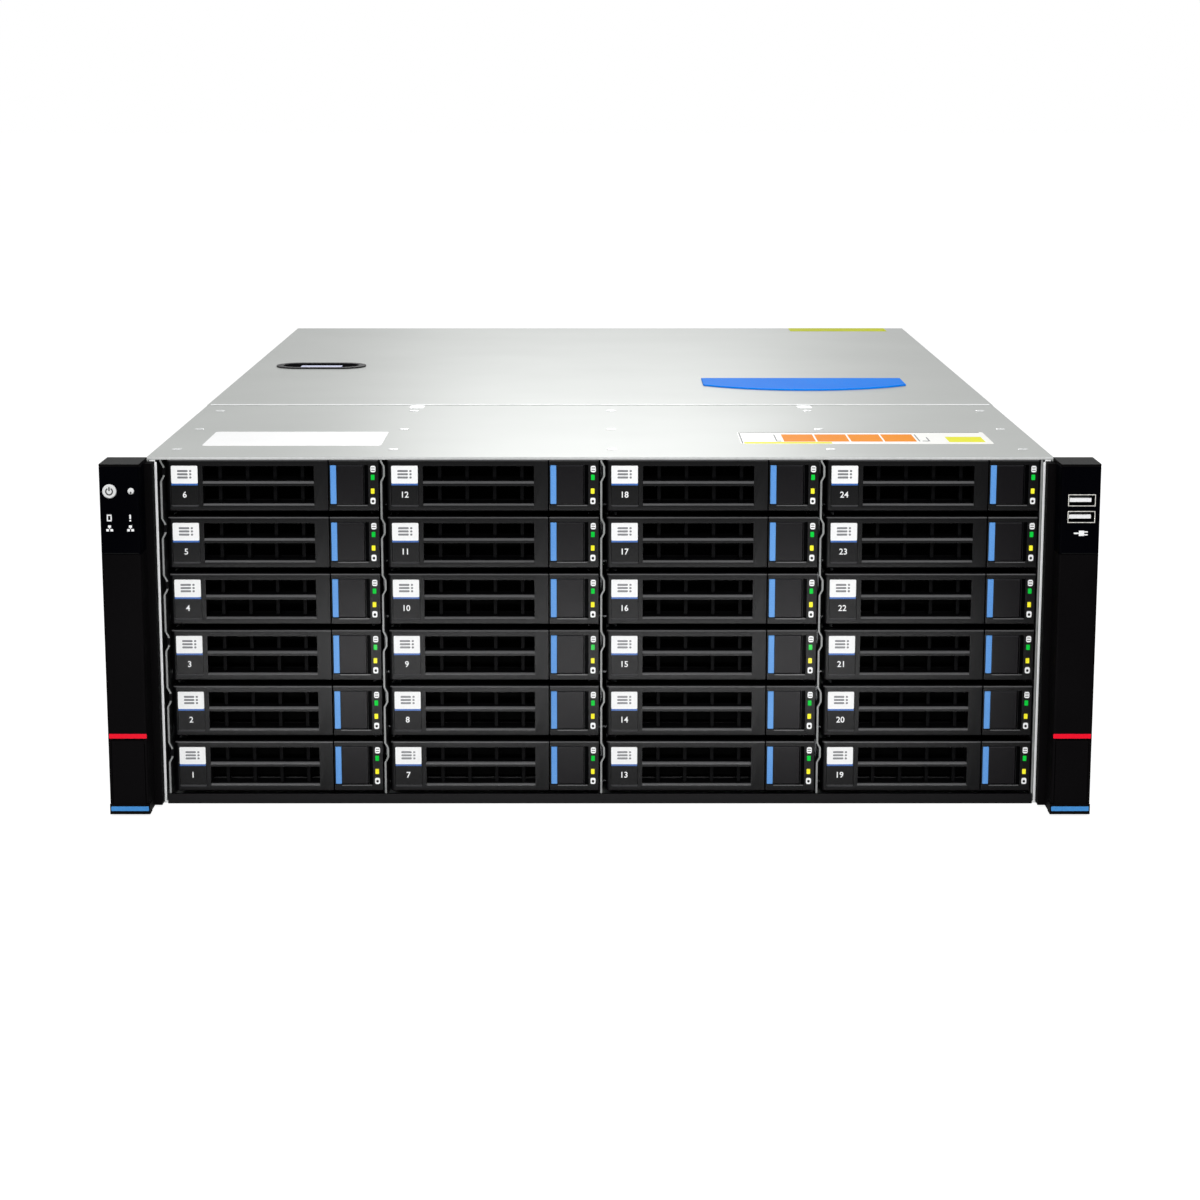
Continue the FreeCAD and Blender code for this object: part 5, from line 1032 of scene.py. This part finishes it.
# Cover labels: a bare white card, a map of the bays with its coloured blocks, and a yellow strip at the
# rear. Printed polyester film with rounded corners, stuck flat on the sheet.
FILM = 0.12
OWNER_CARD = (-201, -110.5, 41, 94.6)
OWNER_CORNER = 2
BAY_MAP = (71.5, 200, 48, 92.6)
MAP_CORNER = 1.5
MAP_BLOCKS = 4
MAP_BLOCK_FIRST = 94
MAP_BLOCK_PITCH = 17.2
MAP_BLOCK_WIDTH = 16.2
MAP_BLOCK_SPAN = (56, 83.6)
MAP_BLOCK_CORNER = 0.4
MAP_YELLOWS = ((73.4, 118, 48.4, 54.6), (178, 196.5, 54, 74))
MAP_LINES = ((73, 198, 90.4, 92.2), (72.2, 72.8, 49.4, 91.4), (90, 90.6, 57, 83), (90.6, 92.6, 57, 59),
             (163, 163.6, 57, 83), (164.8, 168, 57, 59), (168, 168.6, 57, 72))
MAP_LINE_CORNER = 0.1
REAR_STRIP = (138.5, 208.7, 656, 679.4)
REAR_STRIP_CORNER = 1
cover_top = box_mm("front_cover")[1].z


def on_cover(target, area, corner, slot=0, layer=0):
    """Lays a film on the covers' top: its left and right edge, then its near and far one from the front."""
    left, right, near, far = area
    place = Matrix.Translation(((left + right) / 2, front + (near + far) / 2, cover_top + layer * FILM))
    lay(target, plate(right - left, far - near, FILM if layer == 0 else INK, corner), place, slot)


film_white = surface("film_white", tone(246, 247, 247), tone(253, 253, 253),
                     grain=0.8, gloss=(0.4, 0.5), relief=0.04, specular=0.05)
map_white = surface("map_white", tone(247, 247, 242), tone(253, 253, 249),
                    grain=0.8, gloss=(0.35, 0.45), relief=0.04, specular=0.05)
map_orange = surface("map_orange", tone(240, 138, 0), tone(246, 152, 8),
                     grain=0.8, gloss=(0.4, 0.5), relief=0.04, specular=0.01)
map_yellow = surface("map_yellow", tone(230, 228, 20), tone(240, 238, 50),
                     grain=0.8, gloss=(0.4, 0.5), relief=0.04, specular=0.02)
map_line = surface("map_line", tone(96, 98, 100), tone(120, 122, 124),
                   grain=0.8, gloss=(0.4, 0.5), relief=0.04, specular=0.03)
strip_yellow = surface("strip_yellow", tone(198, 204, 0), tone(214, 220, 6),
                       grain=0.8, gloss=(0.4, 0.5), relief=0.04, specular=0.01)
owner_card = bmesh.new()
on_cover(owner_card, OWNER_CARD, OWNER_CORNER)
make_piece("owner_card", owner_card, (film_white,), "chassis")
map_finishes = (map_white, map_orange, map_yellow, map_line)
bay_map = bmesh.new()
on_cover(bay_map, BAY_MAP, MAP_CORNER)
for block in range(MAP_BLOCKS):
    left = MAP_BLOCK_FIRST + MAP_BLOCK_PITCH * block
    on_cover(bay_map, (left, left + MAP_BLOCK_WIDTH, *MAP_BLOCK_SPAN), MAP_BLOCK_CORNER,
             map_finishes.index(map_orange), layer=1)
for area in MAP_YELLOWS:
    on_cover(bay_map, area, MAP_BLOCK_CORNER, map_finishes.index(map_yellow), layer=1)
for area in MAP_LINES:
    on_cover(bay_map, area, MAP_LINE_CORNER, map_finishes.index(map_line), layer=1)
make_piece("bay_map", bay_map, map_finishes, "chassis")
rear_strip = bmesh.new()
on_cover(rear_strip, REAR_STRIP, REAR_STRIP_CORNER)
make_piece("rear_strip", rear_strip, (strip_yellow,), "rear_cover")

# Cover screws: flat-headed cross-slot screws that hold the front cover, in three rows of five, and its
# turned-down sides, with six in each wall of the pan, and two pressed tabs at the seam.
# Bright zinc-plated steel.
SCREW_COLUMNS = (-211.5, -103.5, 6, 115.5, 211.5)
SCREW_ROWS = (28, 105.5, 184)
FLANGE_SCREWS = [(y, 169) for y in SCREW_ROWS]
WALL_SCREWS = [(y, z) for y in (110, 330, 560) for z in (18, 150)]
SEAM_TABS = ((-107, -99, 196, 208), (111, 119, 196, 208))
TAB_CORNER = 1.5
screws = bmesh.new()
for x in SCREW_COLUMNS:
    for y in SCREW_ROWS:
        lay(screws, screw_head(), Matrix.Translation((x, front + y, cover_top)))
for node, spots in (("front_cover", FLANGE_SCREWS), ("chassis_pan", WALL_SCREWS)):
    low, high = box_mm(node)
    for y, z in spots:
        lay(screws, screw_head(), Matrix.Translation((high.x, front + y, z)) @ FACING_RIGHT)
        lay(screws, screw_head(), Matrix.Translation((low.x, front + y, z)) @ FACING_LEFT)
make_piece("cover_screws", screws, (screw_zinc,), "chassis")
tabs = bmesh.new()
for area in SEAM_TABS:
    on_cover(tabs, area, TAB_CORNER)
make_piece("seam_tabs", tabs, (screw_zinc,), "chassis")

# Seam hem: the rear cover's front edge is folded back on itself, which leaves a low bead along the
# seam. Its zinc, far lighter than the covers, is a painted highlight.
SEAM_HEM = (1.6, 0.45, 0.2)
SEAM_HEM_INSET = 2
low, high = box_mm("rear_cover")
seam_hem = slab(high.x - low.x - 2 * SEAM_HEM_INSET, *SEAM_HEM)
seam_hem.transform(Matrix.Translation((low.x + SEAM_HEM_INSET, low.y, cover_top + SEAM_HEM[1])))
make_piece("seam_hem", seam_hem, (painted_highlight_zinc,), "rear_cover")

# Studio: a pale floor that keeps the shadow, and a white surround. They show pale to the eye and in gloss,
# but give the object less light than that. Of the four soft lamps one lights body colour alone, and two
# light sheen alone.
WHITE = (1, 1, 1, 1)
AMBIENT = 0.35
FLOOR_HALF = 15
FLOOR_DROP = 0.2
FLOOR_GREY = (0.3, 0.3, 0.3, 1)
FLOOR_GLOW = (0.9, 0.9, 0.9, 1)
scene = bpy.context.scene
scene.view_settings.view_transform = "Standard"


def seen(tree):
    """1 for the rays that look straight at the surround or mirror it, 0 for those that only carry light."""
    path = add_node(tree, "LightPath", {})
    gloss = path.outputs["Is Glossy Ray"]
    glass = path.outputs["Is Transmission Ray"]
    eye = path.outputs["Is Camera Ray"]
    mirrored = add_node(tree, "Math", {0: gloss, 1: glass}, operation="MAXIMUM").outputs["Value"]
    return add_node(tree, "Math", {0: eye, 1: mirrored}, operation="MAXIMUM").outputs["Value"]


def lamp(name, place, aim, size, power, body=True, sheen=True):
    """A soft rectangular lamp that points at a spot and lights the body colour, the sheen, or both."""
    light = bpy.data.lights.new(name, "AREA")
    light.shape = "RECTANGLE"
    light.size, light.size_y = size
    light.energy = power
    holder = bpy.data.objects.new(name, light)
    holder.location = place
    holder.rotation_euler = (Vector(aim) - Vector(place)).to_track_quat("-Z", "Y").to_euler()
    holder.visible_camera = False
    holder.visible_diffuse = body
    holder.visible_glossy = sheen
    scene.collection.objects.link(holder)


world = bpy.data.worlds.new("studio")
scene.world = world
world.use_nodes = True
tree = world.node_tree
ambient = tree.nodes["Background"]
ambient.inputs["Color"].default_value = WHITE
ambient.inputs["Strength"].default_value = AMBIENT
white = add_node(tree, "Background", {"Color": WHITE, "Strength": 1.0})
chosen = add_node(tree, "MixShader", {"Fac": seen(tree), 1: ambient.outputs[0], 2: white.outputs[0]})
tree.links.new(chosen.outputs[0], tree.nodes["World Output"].inputs["Surface"])

floor_shape = bmesh.new()
bmesh.ops.create_grid(floor_shape, x_segments=1, y_segments=1, size=FLOOR_HALF)
bmesh.ops.translate(floor_shape, vec=(0, 0, -FLOOR_DROP * MM), verts=floor_shape.verts)
floor_mesh = bpy.data.meshes.new("floor")
floor_shape.to_mesh(floor_mesh)
floor_shape.free()
floor = bpy.data.objects.new("floor", floor_mesh)
scene.collection.objects.link(floor)
pale = bpy.data.materials.new("pale_floor")
pale.use_nodes = True
tree = pale.node_tree
matt = tree.nodes["Principled BSDF"]
matt.inputs["Base Color"].default_value = FLOOR_GREY
matt.inputs["Roughness"].default_value = 1.0
matt.inputs["Specular IOR Level"].default_value = 0.0
glow = add_node(tree, "Emission", {"Color": FLOOR_GLOW, "Strength": seen(tree)})
summed = add_node(tree, "AddShader", {0: matt.outputs[0], 1: glow.outputs[0]})
tree.links.new(summed.outputs[0], tree.nodes["Material Output"].inputs["Surface"])
floor_mesh.materials.append(pale)

lamp("overhead", place=(0, -0.55, 1.45), aim=(0, -0.1, 0.17), size=(1.4, 0.9), power=3)
lamp("front_fill", place=(0, -2.4, 1.8), aim=(0, -0.3, 0.1), size=(1.6, 0.8), power=62, sheen=False)
lamp("low_front", place=(-0.03, -0.64, 0.014), aim=(-0.03, -0.34, 0.014), size=(0.5, 0.024), power=2.8,
     body=False)
lamp("cover_lobe", place=(0, 1.75, 0.92), aim=(0, -0.25, 0.17), size=(0.5, 0.2), power=7.4, body=False)

# Camera: a long lens in front of the server, a little above it and tipped down, as in the photograph.
# Its place and tip are the ones that were fitted to the corners and seams of the object.
FILM_WIDTH = 36
LENS = 81.07
CAMERA_PLACE = (0, -1.6545, 0.35976)
CAMERA_TIP = 11.04
camera = bpy.data.cameras.new("camera")
camera.sensor_width = FILM_WIDTH
camera.lens = LENS
stand = bpy.data.objects.new("camera", camera)
stand.location = CAMERA_PLACE
stand.rotation_euler = (math.radians(90 - CAMERA_TIP), 0, 0)
scene.collection.objects.link(stand)
scene.camera = stand
